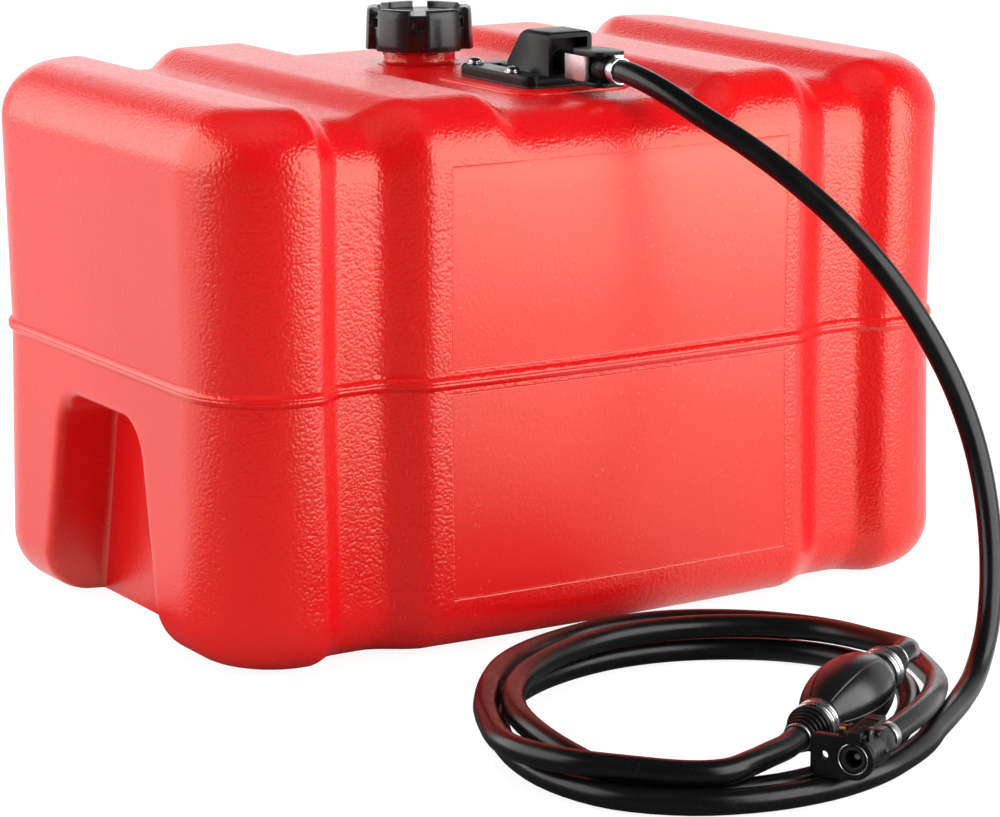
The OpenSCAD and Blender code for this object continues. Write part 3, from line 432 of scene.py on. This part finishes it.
TAIL_ROUTE = [
    TAIL_START, TAIL_START - BULB_AXIS * RUN_IN, (-119, -524, 23.6), (-138, -531, 23.4), (-157, -534, 22.8),
    (-178, -524, 22.8), (-202, -500, 23.4), (-222, -476, 24), (-233, -444, 23), (-232, -416, 22.2),
    (-222, -388, 22.2), (-207, -357, 22.6), (-184, -324, 23.2), (-152, -285, 19.5), (-112, -244, 11.5),
    (-70, -219, REST_Z), (-25, -211, REST_Z), (22, -219, REST_Z), (65, -247, REST_Z), (95, -288, REST_Z),
    (106, -332, REST_Z), (103, -370, REST_Z), (92, -400, 8.2), (76, -428, 11.5), (50, -461, 19), (22, -492, 25),
    (-10, -519, 28), TAIL_END + ENGINE_AXIS * RUN_IN, TAIL_END]


def between(table, value, column):
    """A column of the table at a value that lies between two of its rows."""
    for low, high in zip(table, table[1:]):
        if value <= high[0]:
            share = (value - low[0]) / (high[0] - low[0])
            return low[column] + (high[column] - low[column]) * share
    return table[-1][column]


def coil_point(turn):
    """Point of the coil at an angle in degrees that runs on from turn to turn."""
    radius, a = between(COIL_STATIONS, turn, 1), math.radians(-turn)
    return (COIL_CENTRE[0] + radius * math.cos(a), COIL_CENTRE[1] + radius * math.sin(a),
            REST_Z + between(COIL_STATIONS, turn, 2))


COIL_ROUTE = ([LEAD_JOIN, LEAD_JOIN + JOIN_DIR * RUN_IN] + [coil_point(turn) for turn in range(60, 701, 15)]
              + [(68, -404, 28), COIL_END + BULB_AXIS * RUN_IN, COIL_END])


def smooth(route, n):
    """Smooth line through the route's points; its first and last stretches stay straight."""
    p = [Vector(q) for q in route]
    line = [p[0]]
    for i in range(1, len(p) - 2):
        a, b, c, d = p[i - 1], p[i], p[i + 1], p[i + 2]
        for k in range(n):
            t = k / n
            line.append(0.5 * (2 * b + (c - a) * t + (2 * a - 5 * b + 4 * c - d) * t * t
                               + (3 * b - a - 3 * c + d) * t * t * t))
    return line + [p[-2], p[-1]]


def hose(name, line, nodes):
    """A round hose along a line in mm, as a curve of one open spline."""
    curve = bpy.data.curves.new(name, "CURVE")
    curve.dimensions = "3D"
    spline = curve.splines.new("POLY")
    spline.points.add(len(line) - 1)
    for point, place in zip(spline.points, line):
        point.co = (*(place * MM), 1)
    curve.bevel_depth = HOSE_R * MM
    curve.bevel_resolution = 6
    curve.use_fill_caps = True
    curve.materials.append(FINISH["hose_rubber"])
    piece = bpy.data.objects.new(name, curve)
    bpy.context.scene.collection.objects.link(piece)
    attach(piece, "fuel_line")
    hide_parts(*nodes)


INLET_LINE = smooth(LEAD_ROUTE, 6)[:-1] + smooth(COIL_ROUTE, 4)
OUTLET_LINE = smooth(TAIL_ROUTE, 6)

# -------------------------------------------------------------------- tank

HALF_L, HALF_W, TANK_H, PARTING_Z = 287, 191, 360, 180
CORNER_R, TOP_R, BOTTOM_R, LEAN = 63, 38, 33, 0.02
BEAD_OUT, BEAD_H = 3, 9
CHANNEL_D, CHANNEL_TOP_D, DECK_DROP, DECK_HALF = 17, 11, 12, 76
PANEL_HALF, PANEL_BOW, CHANNEL_IN, CHANNEL_OUT = 132, 3, 170, 200
BLOCK_IN, BLOCK_SET = 224, 6
CORNER_Y = HALF_W - BLOCK_SET - CORNER_R     # where the rounded corners begin
# Where along the tank each ramp begins and ends
DECK_RAMP = DECK_HALF - 4, DECK_HALF + 21
INNER_RAMP, OUTER_RAMP = (CHANNEL_IN - 25, CHANNEL_IN + 5), (CHANNEL_OUT - 5, CHANNEL_OUT + 25)
WALL_RAMP = PANEL_HALF + 6, CHANNEL_IN + 6
DECK_Z = TANK_H - DECK_DROP
NECK, NECK_H, CAP_TOP = (2, 73), 32, 388
NECK_HATCH = 20.8            # half the square left open in the skin under the neck
FRONT_TURN = -31.5           # degrees that the cap's slots are turned to the front left
THREAD_TURNS = FRONT_TURN - 90 - 27, FRONT_TURN - 90 + 22, 45, 150
THREAD_R, THREAD_UP, THREAD_HALF = 24.4, 7.4, (5.6, 1.6, 1.7)
PAD, PAD_R, PAD_RIM = (98, 122, 6), 24, 1.9
PAD_AT, PAD_SUNK = (14, -59), 4
POCKET_D, POCKET_H = 40, 147
POCKET_TOP, POCKET_LOW = 60, 87      # half-widths at the pocket's top and foot
POCKET_FOOT, POCKET_RISE = -5, 134.6
POCKET_MID, POCKET_R = 74, 22        # half-width halfway up, radius of the upper corners
POCKET_SPREAD = 28                   # how far round the pocket the grid bends with its corners
RIM_R, SIDE_DRAFT, CREASE_R = 7, 2.5, 4
# Distances in from the pocket's outline at which its rim, side and inner corner get points
RIM_STEPS = ([RIM_R * (math.sin(math.radians(15 * i)) - 1) for i in range(7)]
             + [SIDE_DRAFT * i / 6 for i in range(1, 7)]
             + [SIDE_DRAFT + CREASE_R * (1 - math.cos(math.radians(18 * i))) for i in range(1, 6)])
END_STEPS = [-42, -36, -29, -22, -16, -11] + RIM_STEPS + [10, 16, 22, 30, 38, 46, 54, 62, 68]


def ease(x, a, b):
    """Soft step from 0 at a to 1 at b."""
    t = max(0.0, min(1.0, (x - a) / (b - a)))
    return t * t * (3 - 2 * t)


def plan_y(x):
    """How far the front wall stands out: bowed panel, strap channel, end block."""
    a = abs(x)
    return (HALF_W - PANEL_BOW * (min(a, PANEL_HALF) / PANEL_HALF) ** 2 - CHANNEL_D * ease(a, *WALL_RAMP)
            + (CHANNEL_D + PANEL_BOW - BLOCK_SET) * ease(a, CHANNEL_OUT, BLOCK_IN))


def top_z(x):
    """Height of the top: sunken deck, strap channel, end block."""
    a = abs(x)
    return (TANK_H - DECK_DROP * (1 - ease(a, *DECK_RAMP))
            - CHANNEL_TOP_D * (ease(a, *INNER_RAMP) - ease(a, *OUTER_RAMP)))


def quarter_outline():
    """Stations from the front's middle round the right corner to the end's middle: x, y, outward angle.

    They lie closer together on the ramps and round the corner."""
    xs = [4 * i for i in range(18)] + [DECK_HALF + 16 * i / 8 for i in range(9)] + [97 + 5 * i for i in range(8)]
    xs += [136 + 4 * i for i in range(16)] + [200 + 3 * i for i in range(9)]
    stations = [(x, -plan_y(x), -90.0) for x in xs if x < BLOCK_IN - 0.5]
    for i in range(25):
        a = -90 + 90 * i / 24
        turn = math.radians(a)
        stations.append((BLOCK_IN + CORNER_R * math.cos(turn), -CORNER_Y + CORNER_R * math.sin(turn), a))
    stations += [(HALF_L, step - POCKET_MID, 0.0) for step in END_STEPS] + [(HALF_L, 0, 0.0)]
    return stations


def full_outline():
    """The quarter mirrored to the back and then to the left."""
    quarter = quarter_outline()
    right = quarter + [(x, -y, -a) for x, y, a in reversed(quarter) if y < -0.1]
    left = [(-x, y, 180 - a) for x, y, a in reversed(right) if x > 0.1]
    return right + left


def levels():
    """Up the skin: part, its angle or height, how far it stands out."""
    rows = [("bottom edge", 90 - 90 * i / 12, 0) for i in range(13)]
    rows += [("wall", z, 0) for z in range(38, 136, 8)]
    rows += [("wall", POCKET_H - step, 0) for step in reversed(RIM_STEPS)]
    rows += [("wall", z, 0) for z in (157, 162, 167, 171, 174)]
    for i in range(17):
        t = -1 + i / 8
        groove = 0.22 * math.exp(-(t / 0.14) ** 2)
        rows.append(("wall", PARTING_Z + t * BEAD_H / 2, BEAD_OUT * (math.cos(math.pi * t / 2) ** 0.9 - groove)))
    rows += [("wall", z, 0) for z in (188, 200, 215, 232, 250, 268, 286, 300)]
    rows += [("top edge", 90 * i / 14, 0) for i in range(15)]
    return rows


def skin_point(station, level):
    """Where a station of the outline lies at a level, without the hand pockets."""
    x, y, turn = station
    part, value, stand = level
    lift = math.radians(value)
    if part == "bottom edge":
        z, wall_z, back = BOTTOM_R * (1 - math.sin(lift)), BOTTOM_R, BOTTOM_R * (1 - math.cos(lift))
    elif part == "wall":
        z, wall_z, back = value, value, 0
    else:
        wall_z = top_z(x) - TOP_R
        z, back = top_z(x) - TOP_R * (1 - math.sin(lift)), TOP_R * (1 - math.cos(lift))
    out = stand + LEAN * abs(wall_z - PARTING_Z) - back
    a = math.radians(turn)
    return Vector((x + out * math.cos(a), y + out * math.sin(a), z))


def pocket_depth(inward):
    """Depth of the pocket at a distance in from its outline: rounded rim, drafted side, rounded inner corner."""
    if inward <= -RIM_R:
        return 0
    if inward <= 0:
        return RIM_R - math.sqrt(max(0, RIM_R ** 2 - (inward + RIM_R) ** 2))
    side_end = POCKET_D - CREASE_R
    if inward <= SIDE_DRAFT:
        return RIM_R + (side_end - RIM_R) * inward / SIDE_DRAFT
    if inward < SIDE_DRAFT + CREASE_R:
        return side_end + math.sqrt(max(0, CREASE_R ** 2 - (SIDE_DRAFT + CREASE_R - inward) ** 2))
    return POCKET_D


def bent_corner(side, top):
    """Moves a grid point, given by its distances in from two edges, onto rounded corners round the pocket."""
    near, far = min(side, top), max(side, top)
    if far >= POCKET_R:
        return side, top
    turn = math.radians(45 * (POCKET_R - far) / (POCKET_R - near))
    reach = POCKET_R - near
    place = POCKET_R - reach * math.cos(turn), POCKET_R - reach * math.sin(turn)
    if side > top:
        place = place[1], place[0]
    share = ease(near, -POCKET_SPREAD, -RIM_R - 1)
    return side + (place[0] - side) * share, top + (place[1] - top) * share


def into_pocket(p):
    """Sinks the hand pocket into a point of an end face."""
    if abs(p.x) < HALF_L - POCKET_D - 4 or p.z > PARTING_Z - BEAD_H / 2 or abs(p.y) > CORNER_Y + 0.01:
        return p
    column, row = POCKET_MID - abs(p.y), POCKET_H - p.z
    side, top = bent_corner(column, row)
    z = POCKET_H - top
    half = POCKET_LOW - (min(z, POCKET_H) - POCKET_FOOT) * (POCKET_LOW - POCKET_TOP) / POCKET_RISE
    if side > POCKET_R:
        y = (half - POCKET_R) * (POCKET_MID - side) / (POCKET_MID - POCKET_R)
    elif side > -RIM_R - 1:
        y = half - side
    else:
        rim = half + RIM_R + 1
        y = rim + (-side - RIM_R - 1) * (CORNER_Y - rim) / (CORNER_Y - POCKET_MID - RIM_R - 1)
    outer = abs(p.x) + (LEAN * (abs(z - PARTING_Z) - abs(p.z - PARTING_Z)) if p.z > BOTTOM_R else 0)
    sunk = pocket_depth(min(column, row)) / POCKET_D
    x = outer - max(0, outer - (HALF_L - POCKET_D)) * sunk
    return Vector((math.copysign(x, p.x), math.copysign(y, p.y), z if p.z > BOTTOM_R else p.z))


def loft(outline, rows, shape):
    """Extrudes a closed outline up through the rows; shape gives the place of a station at a row.

    Gives the mesh, its lowest edges, and the vertices and edges of its top ring."""
    bm = bmesh.new()
    ring = [bm.verts.new(shape(station, rows[0])) for station in outline]
    rim = [bm.edges.new((ring[i - 1], ring[i])) for i in range(len(ring))]
    low_rim = rim
    for row in rows[1:]:
        grown = bmesh.ops.extrude_edge_only(bm, edges=rim)["geom"]
        fresh = {tuple(v.co): v for v in grown if isinstance(v, bmesh.types.BMVert)}
        ring = [fresh[tuple(v.co)] for v in ring]
        top = set(ring)
        rim = [e for e in grown if isinstance(e, bmesh.types.BMEdge) and e.verts[0] in top and e.verts[1] in top]
        for vert, station in zip(ring, outline):
            vert.co = shape(station, row)
    return bm, low_rim, ring, rim


def cut_top(bm, axis, place):
    """Cuts the tank's top faces through by an upright plane across an axis, at a place in mm."""
    faces = [f for f in bm.faces if f.calc_center_median().z > (DECK_Z - 5) * MM]
    parts = faces + list({e for f in faces for e in f.edges}) + list({v for f in faces for v in f.verts})
    normal = (1, 0, 0) if axis == "x" else (0, 1, 0)
    bmesh.ops.bisect_plane(bm, geom=parts, plane_co=[n * place * MM for n in normal], plane_no=normal)


def in_hatch(face):
    """Whether a top face lies inside the square that the neck covers."""
    middle = face.calc_center_median()
    reach = NECK_HATCH * MM - 0.0001
    return (middle.z > (DECK_Z - 8) * MM and abs(middle.x - NECK[0] * MM) < reach
            and abs(middle.y - NECK[1] * MM) < reach)


def tank_skin():
    """Lofted skin with its top split into strips from front to back, open under the neck."""
    outline = full_outline()
    bm, low_rim, ring, high_rim = loft(outline, levels(), lambda s, row: into_pocket(skin_point(s, row)) * MM)
    bmesh.ops.holes_fill(bm, edges=low_rim, sides=0)
    bmesh.ops.holes_fill(bm, edges=high_rim, sides=0)
    pairs = {}
    for vert, (x, y, turn) in zip(ring, outline):
        if abs(x) < BLOCK_IN + 2:
            pairs.setdefault(round(x, 4), []).append(vert)
    for x in sorted(pairs):
        a, b = pairs[x]
        face = next((f for f in a.link_faces if b in f.verts and len(f.verts) > 4), None)
        if face:
            bmesh.utils.face_split(face, a, b)
    outward(bm)
    for axis, middle in (("y", NECK[1]), ("x", NECK[0])):
        for side in (-NECK_HATCH, NECK_HATCH):
            cut_top(bm, axis, middle + side)
    bmesh.ops.delete(bm, geom=[f for f in bm.faces if in_hatch(f)], context="FACES")
    put("tank_skin", bm, "tank", "tank_red", 50, ("tank_shell",))


def tank_neck():
    """Collar, neck with its rounded lip, and the starts of the thread, of which two show under the cap."""
    z0, z1 = DECK_Z, DECK_Z + NECK_H
    profile = [(21, z0 - 4), (21, z1 - 1), (21.8, z1), (24, z1), (24.6, z1 - 1), (24.6, z0 + 10.4), (25, z0 + 9.8),
               (25, z0 + 5), (25.2, z0 + 3.6), (25.8, z0 + 2.3), (26.8, z0 + 1.3), (28, z0 + 0.7), (29.5, z0 + 0.4),
               (29.5, z0 - 4)]
    put("filler_neck", lathe(profile, at(*NECK, 0), 128), "tank", "tank_red", 40)
    for index, turn in enumerate(THREAD_TURNS):
        bump = bmesh.new()
        bmesh.ops.create_uvsphere(bump, u_segments=24, v_segments=12, radius=1.0)
        size = Matrix.Diagonal((*(half * MM for half in THREAD_HALF), 1))
        turned = Matrix.Rotation(math.radians(turn + 90), 4, "Z")
        a = math.radians(turn)
        place = at(NECK[0] + THREAD_R * math.cos(a), NECK[1] + THREAD_R * math.sin(a), z0 + THREAD_UP)
        bmesh.ops.transform(bump, matrix=place @ turned @ size, verts=bump.verts)
        put("thread_start_%d" % (index + 1), bump, "tank", "tank_red", 0)


def rounded_slab(w, l, h, r, rim, steps=10):
    """Rounded plate centred on X and Y, standing on z = 0, with its upper rim eased."""
    bm = bmesh.new()
    bmesh.ops.create_cube(bm, size=1.0)
    bmesh.ops.scale(bm, vec=(w * MM, l * MM, h * MM), verts=bm.verts)
    bmesh.ops.translate(bm, vec=(0, 0, h * MM / 2), verts=bm.verts)
    ease_edges(bm, [e for e in bm.edges if abs(e.verts[0].co.z - e.verts[1].co.z) > 1e-6], r * MM, steps)
    upper = [e for e in bm.edges if all(v.co.z > h * MM - 1e-6 for v in e.verts) and e.calc_face_angle(0) > 0.5]
    ease_edges(bm, upper, rim * MM, 4)
    return bm


def pickup_pad():
    """Moulded pad on the deck that carries the pickup."""
    bm = rounded_slab(*PAD, PAD_R, PAD_RIM)
    bmesh.ops.transform(bm, matrix=at(*PAD_AT, DECK_Z - PAD_SUNK), verts=bm.verts)
    put("pickup_pad", bm, "tank", "tank_red", 50)


tank_skin()
tank_neck()
pickup_pad()

# -------------------------------------------------- cap, pickup, connectors

CAP_WIDER = 1.05            # the cap's lobes stand out a little more than the solid's
RIB, RIB_R, RIB_OUT, RIB_DOWN = (11.4, 1.6, 1.3), 0.3, 33.4, 14.2


def widened_cap():
    cap = rounded_copy("filler_cap", 0.0007, flat=0.05)
    wider = Matrix.Diagonal((CAP_WIDER, CAP_WIDER, 1, 1))
    cap.data.transform(at(*NECK, 0) @ wider @ at(-NECK[0], -NECK[1], 0))


def cap_ribs():
    """Thin rib under the window in each slot between the cap's lobes."""
    bm = bmesh.new()
    for i in range(6):
        bar = rounded_slab(*RIB, RIB_R, RIB_R, 2)
        turn = Matrix.Rotation(math.radians(60 * i + FRONT_TURN), 4, "Z")
        bmesh.ops.transform(bar, matrix=at(*NECK, 0) @ turn @ at(0, -RIB_OUT, CAP_TOP - RIB_DOWN), verts=bar.verts)
        rib = bpy.data.meshes.new("rib")
        bar.to_mesh(rib)
        bar.free()
        bm.from_mesh(rib)
        bpy.data.meshes.remove(rib)
    put("cap_ribs", bm, "cap", "cap_black", 30)


def vent_spring():
    """The vent's spring on the carrier's floor, with its edges eased and a mesh of its own."""
    spring = rounded_copy("vent_spring", 0.0002)
    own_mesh(spring)


widened_cap()
for eased_node, edge_width in (
        ("pickup_housing", 0.0007), ("connector_body", 0.0006), ("connector_latch", 0.00025),
        ("engine_connector_body", 0.0006), ("engine_latch", 0.0005), ("screw_washers", 0.0002),
        ("pickup_screws", 0.0002), ("tank_hose_clamp", 0.0004), ("engine_hose_clamp", 0.0004),
        ("bulb_hose_rings", 0.0004), ("bulb_inlet", 0.0004), ("bulb_outlet", 0.0004),
        ("pickup_gasket", 0.0003), ("engine_port_seal", 0.0003), ("engine_plunger", 0.0003)):
    rounded_copy(eased_node, edge_width)
vent_spring()
cap_ribs()

# -------------------------------------------------------------- primer bulb


BULB_R, BULB_HALF = 24, 42
BULB_TIP = BULB_HALF + 5     # where the bulb's curve would close if it had no necks
CUFF_R, CUFF_HALF, BULB_BORE_R = 13, 55, 9.05
SEAM_TURN, SEAM_DEPTH, SEAM_WIDTH = 60, 0.5, 1.1      # degrees, mm, degrees
BAND_IN, BAND_OUT, BAND_W = 13.05, 14.3, 4.4
BAND_AT = 49.6, 44.0         # from the bulb's middle to the near edge of each band


def along_bulb(x):
    """Place and turn of something x mm along the bulb from its middle."""
    turn = BULB_AXIS.to_track_quat("Z", "Y").to_matrix().to_4x4()
    return Matrix.Translation(BULB_AT * MM) @ turn @ Matrix.Translation((0, 0, x * MM))


def bulb():
    """Egg-shaped bulb with necks and fine moulding seams from end to end."""
    profile = [(CUFF_R, -CUFF_HALF)]
    for i in range(-40, 41):
        x = i * BULB_HALF / 40
        profile.append((max(CUFF_R, BULB_R * math.sqrt(max(0, 1 - (x / BULB_TIP) ** 2))), x))
    profile += [(CUFF_R, CUFF_HALF), (BULB_BORE_R, CUFF_HALF), (BULB_BORE_R, -CUFF_HALF)]
    bm = lathe(profile, Matrix.Identity(4), 360)
    for vert in bm.verts:
        radius = math.hypot(vert.co.x, vert.co.y) / MM
        if radius > CUFF_R + 0.05:
            turn = math.degrees(math.atan2(vert.co.y, vert.co.x)) % SEAM_TURN
            near = min(turn, SEAM_TURN - turn)
            sink = SEAM_DEPTH * math.exp(-(near / SEAM_WIDTH) ** 2) * min(1.0, (radius - CUFF_R) / 2)
            vert.co.x *= 1 - sink / radius
            vert.co.y *= 1 - sink / radius
    bmesh.ops.transform(bm, matrix=along_bulb(0), verts=bm.verts)
    put("primer_bulb", bm, "fuel_line", "bulb_rubber", 40, ("bulb_shell",))


def bulb_bands():
    """Two crimp bands with rolled edges on each neck."""
    inner, outer, w = BAND_IN, BAND_OUT, BAND_W
    profile = [(inner, 0), (outer - 0.5, 0), (outer, 0.5), (outer, 1.2), (outer - 0.45, 1.9), (outer - 0.45, w - 1.9),
               (outer, w - 1.2), (outer, w - 0.5), (outer - 0.5, w), (inner, w)]
    for index, x in enumerate(BAND_AT):
        for end, start in (("outlet", -x - w), ("inlet", x)):
            put("crimp_band_%d_%s" % (index + 1, end), lathe(profile, along_bulb(start), 96), "fuel_line",
                "zinc_plate", 30, ("bulb_bands",))


def port_rim():
    """Raised rim round the port in the engine connector's face."""
    turn = (-ENGINE_AXIS).to_track_quat("Z", "Y").to_matrix().to_4x4()
    profile = [(8.5, -0.4), (8.5, 0.1), (8.7, 0.3), (9.0, 0.3), (9.2, 0.1), (9.2, -0.4)]
    put("port_rim", lathe(profile, Matrix.Translation(ENGINE_AT * MM) @ turn, 96), "fuel_line", "zinc_plate", 30)


bulb()
bulb_bands()
port_rim()
hose("inlet_hose", INLET_LINE, ("hose_lead", "hose_coil"))
hose("outlet_hose", OUTLET_LINE, ("hose_tail",))

# ----------------------------------------------------------- floor and light

FLOOR_HALF = 30                     # metres
FRONT_LEFT = -0.68, -0.733, 0
BACK_RIGHT = 0.60, 0.80


def floor():
    """Pale floor that keeps the object's shadow; reflections see it darker to the front left."""
    bm = bmesh.new()
    bmesh.ops.create_grid(bm, x_segments=2, y_segments=2, size=FLOOR_HALF)
    mesh = bpy.data.meshes.new("floor")
    bm.to_mesh(mesh)
    bm.free()
    plane = bpy.data.objects.new("floor", mesh)
    bpy.context.scene.collection.objects.link(plane)
    material = bpy.data.materials.new("pale_floor")
    material.use_nodes = True
    tree = material.node_tree
    tree.nodes.clear()
    out = tree.nodes.new("ShaderNodeOutputMaterial")
    path = tree.nodes.new("ShaderNodeLightPath").outputs
    spot = tree.nodes.new("ShaderNodeTexCoord").outputs["Object"]
    way = add(tree, "ShaderNodeVectorMath", {"operation": "NORMALIZE"}, i0=spot).outputs[0]
    facing = add(tree, "ShaderNodeVectorMath", {"operation": "DOT_PRODUCT"}, i0=way, i1=FRONT_LEFT)
    wedge = remap(tree, facing.outputs["Value"], 0.45, 0.72, 0.0, 0.95, True)
    shade = maths(tree, "MULTIPLY", wedge, path["Is Glossy Ray"])
    tone = mix_colour(tree, shade, (0.72, 0.72, 0.72), (0.05, 0.05, 0.05))
    paint = add(tree, "ShaderNodeBsdfDiffuse", Color=tone)
    glow = add(tree, "ShaderNodeEmission", Color=(1, 1, 1, 1), Strength=1.24)
    far = add(tree, "ShaderNodeVectorMath", {"operation": "LENGTH"}, i0=spot).outputs["Value"]
    to_camera = maths(tree, "MULTIPLY", path["Is Camera Ray"], remap(tree, far, 0.9, 2.5, 0.72, 0.86, True))
    mirrored = maths(tree, "MULTIPLY", maths(tree, "SUBTRACT", path["Is Glossy Ray"], shade, clamp=True), 0.55)
    both = add(tree, "ShaderNodeMixShader", i0=maths(tree, "ADD", to_camera, mirrored), i1=paint.outputs[0],
               i2=glow.outputs[0])
    tree.links.new(both.outputs[0], out.inputs["Surface"])
    mesh.materials.append(material)


def world():
    """White backdrop, a dimmer one in reflections that fades to the front left, and a soft fill."""
    studio = bpy.data.worlds.new("studio")
    bpy.context.scene.world = studio
    studio.use_nodes = True
    tree = studio.node_tree
    tree.nodes.clear()
    out = tree.nodes.new("ShaderNodeOutputWorld")
    path = tree.nodes.new("ShaderNodeLightPath").outputs
    way = tree.nodes.new("ShaderNodeTexCoord").outputs["Generated"]
    x, y, z = add(tree, "ShaderNodeSeparateXYZ", Vector=way).outputs
    behind = maths(tree, "ADD", maths(tree, "MULTIPLY", x, BACK_RIGHT[0]),
                   maths(tree, "MULTIPLY", y, BACK_RIGHT[1]))
    seen = maths(tree, "MULTIPLY", remap(tree, behind, 0.0, 0.9, 0.02, 0.70, True),
                 remap(tree, z, 0.30, 0.62, 1.0, 0.10, True))
    fill = add(tree, "ShaderNodeBackground", Color=(1, 1, 1, 1), Strength=0.10).outputs[0]
    mirrored = add(tree, "ShaderNodeBackground", Color=(1, 1, 1, 1), Strength=seen).outputs[0]
    white = add(tree, "ShaderNodeBackground", Color=(1, 1, 1, 1), Strength=1.0).outputs[0]
    lit = add(tree, "ShaderNodeMixShader", i0=path["Is Glossy Ray"], i1=fill, i2=mirrored).outputs[0]
    both = add(tree, "ShaderNodeMixShader", i0=path["Is Camera Ray"], i1=lit, i2=white).outputs[0]
    tree.links.new(both, out.inputs["Surface"])


def softbox(name, place, target, width, height, watts, mirrored=True):
    """Large soft lamp aimed at a point; one that isn't mirrored stays out of reflections."""
    data = bpy.data.lights.new(name, "AREA")
    data.shape = "RECTANGLE"
    data.size, data.size_y = width, height
    data.energy = watts
    lamp = bpy.data.objects.new(name, data)
    forward = Vector(target) - Vector(place)
    lamp.matrix_world = Matrix.Translation(place) @ forward.to_track_quat("-Z", "Y").to_matrix().to_4x4()
    lamp.visible_camera = False
    lamp.visible_glossy = mirrored
    bpy.context.scene.collection.objects.link(lamp)


floor()
world()
# Lamps: place, the point they face, width, height, watts
softbox("left_box", (-1.80, 0.95, 1.00), (-0.2, 0, 0.25), 3.2, 1.8, 48)
softbox("left_fill", (-2.40, -0.10, 0.60), (-0.2, 0, 0.2), 1.0, 0.8, 6, mirrored=False)
softbox("front_box", (0.44, -1.06, 0.53), (0.0, -0.19, 0.45), 1.4, 1.0, 16)
softbox("back_box", (1.45, 2.30, 0.85), (0.1, 0.1, 0.3), 2.8, 1.3, 8)
softbox("back_fill", (0.80, 2.30, 1.10), (0, 0.1, 0.2), 1.6, 1.2, 13, mirrored=False)
softbox("front_fill", (1.50, -1.50, 0.30), (0.05, -0.19, 0.06), 1.0, 0.5, 7, mirrored=False)
softbox("right_fill", (2.40, 0.30, 0.80), (0.2, 0, 0.2), 1.4, 1.0, 6, mirrored=False)
softbox("top_box", (-0.4, -0.1, 2.1), (0, 0, 0.2), 1.8, 1.6, 24, mirrored=False)
bpy.context.scene.view_settings.view_transform = "Standard"
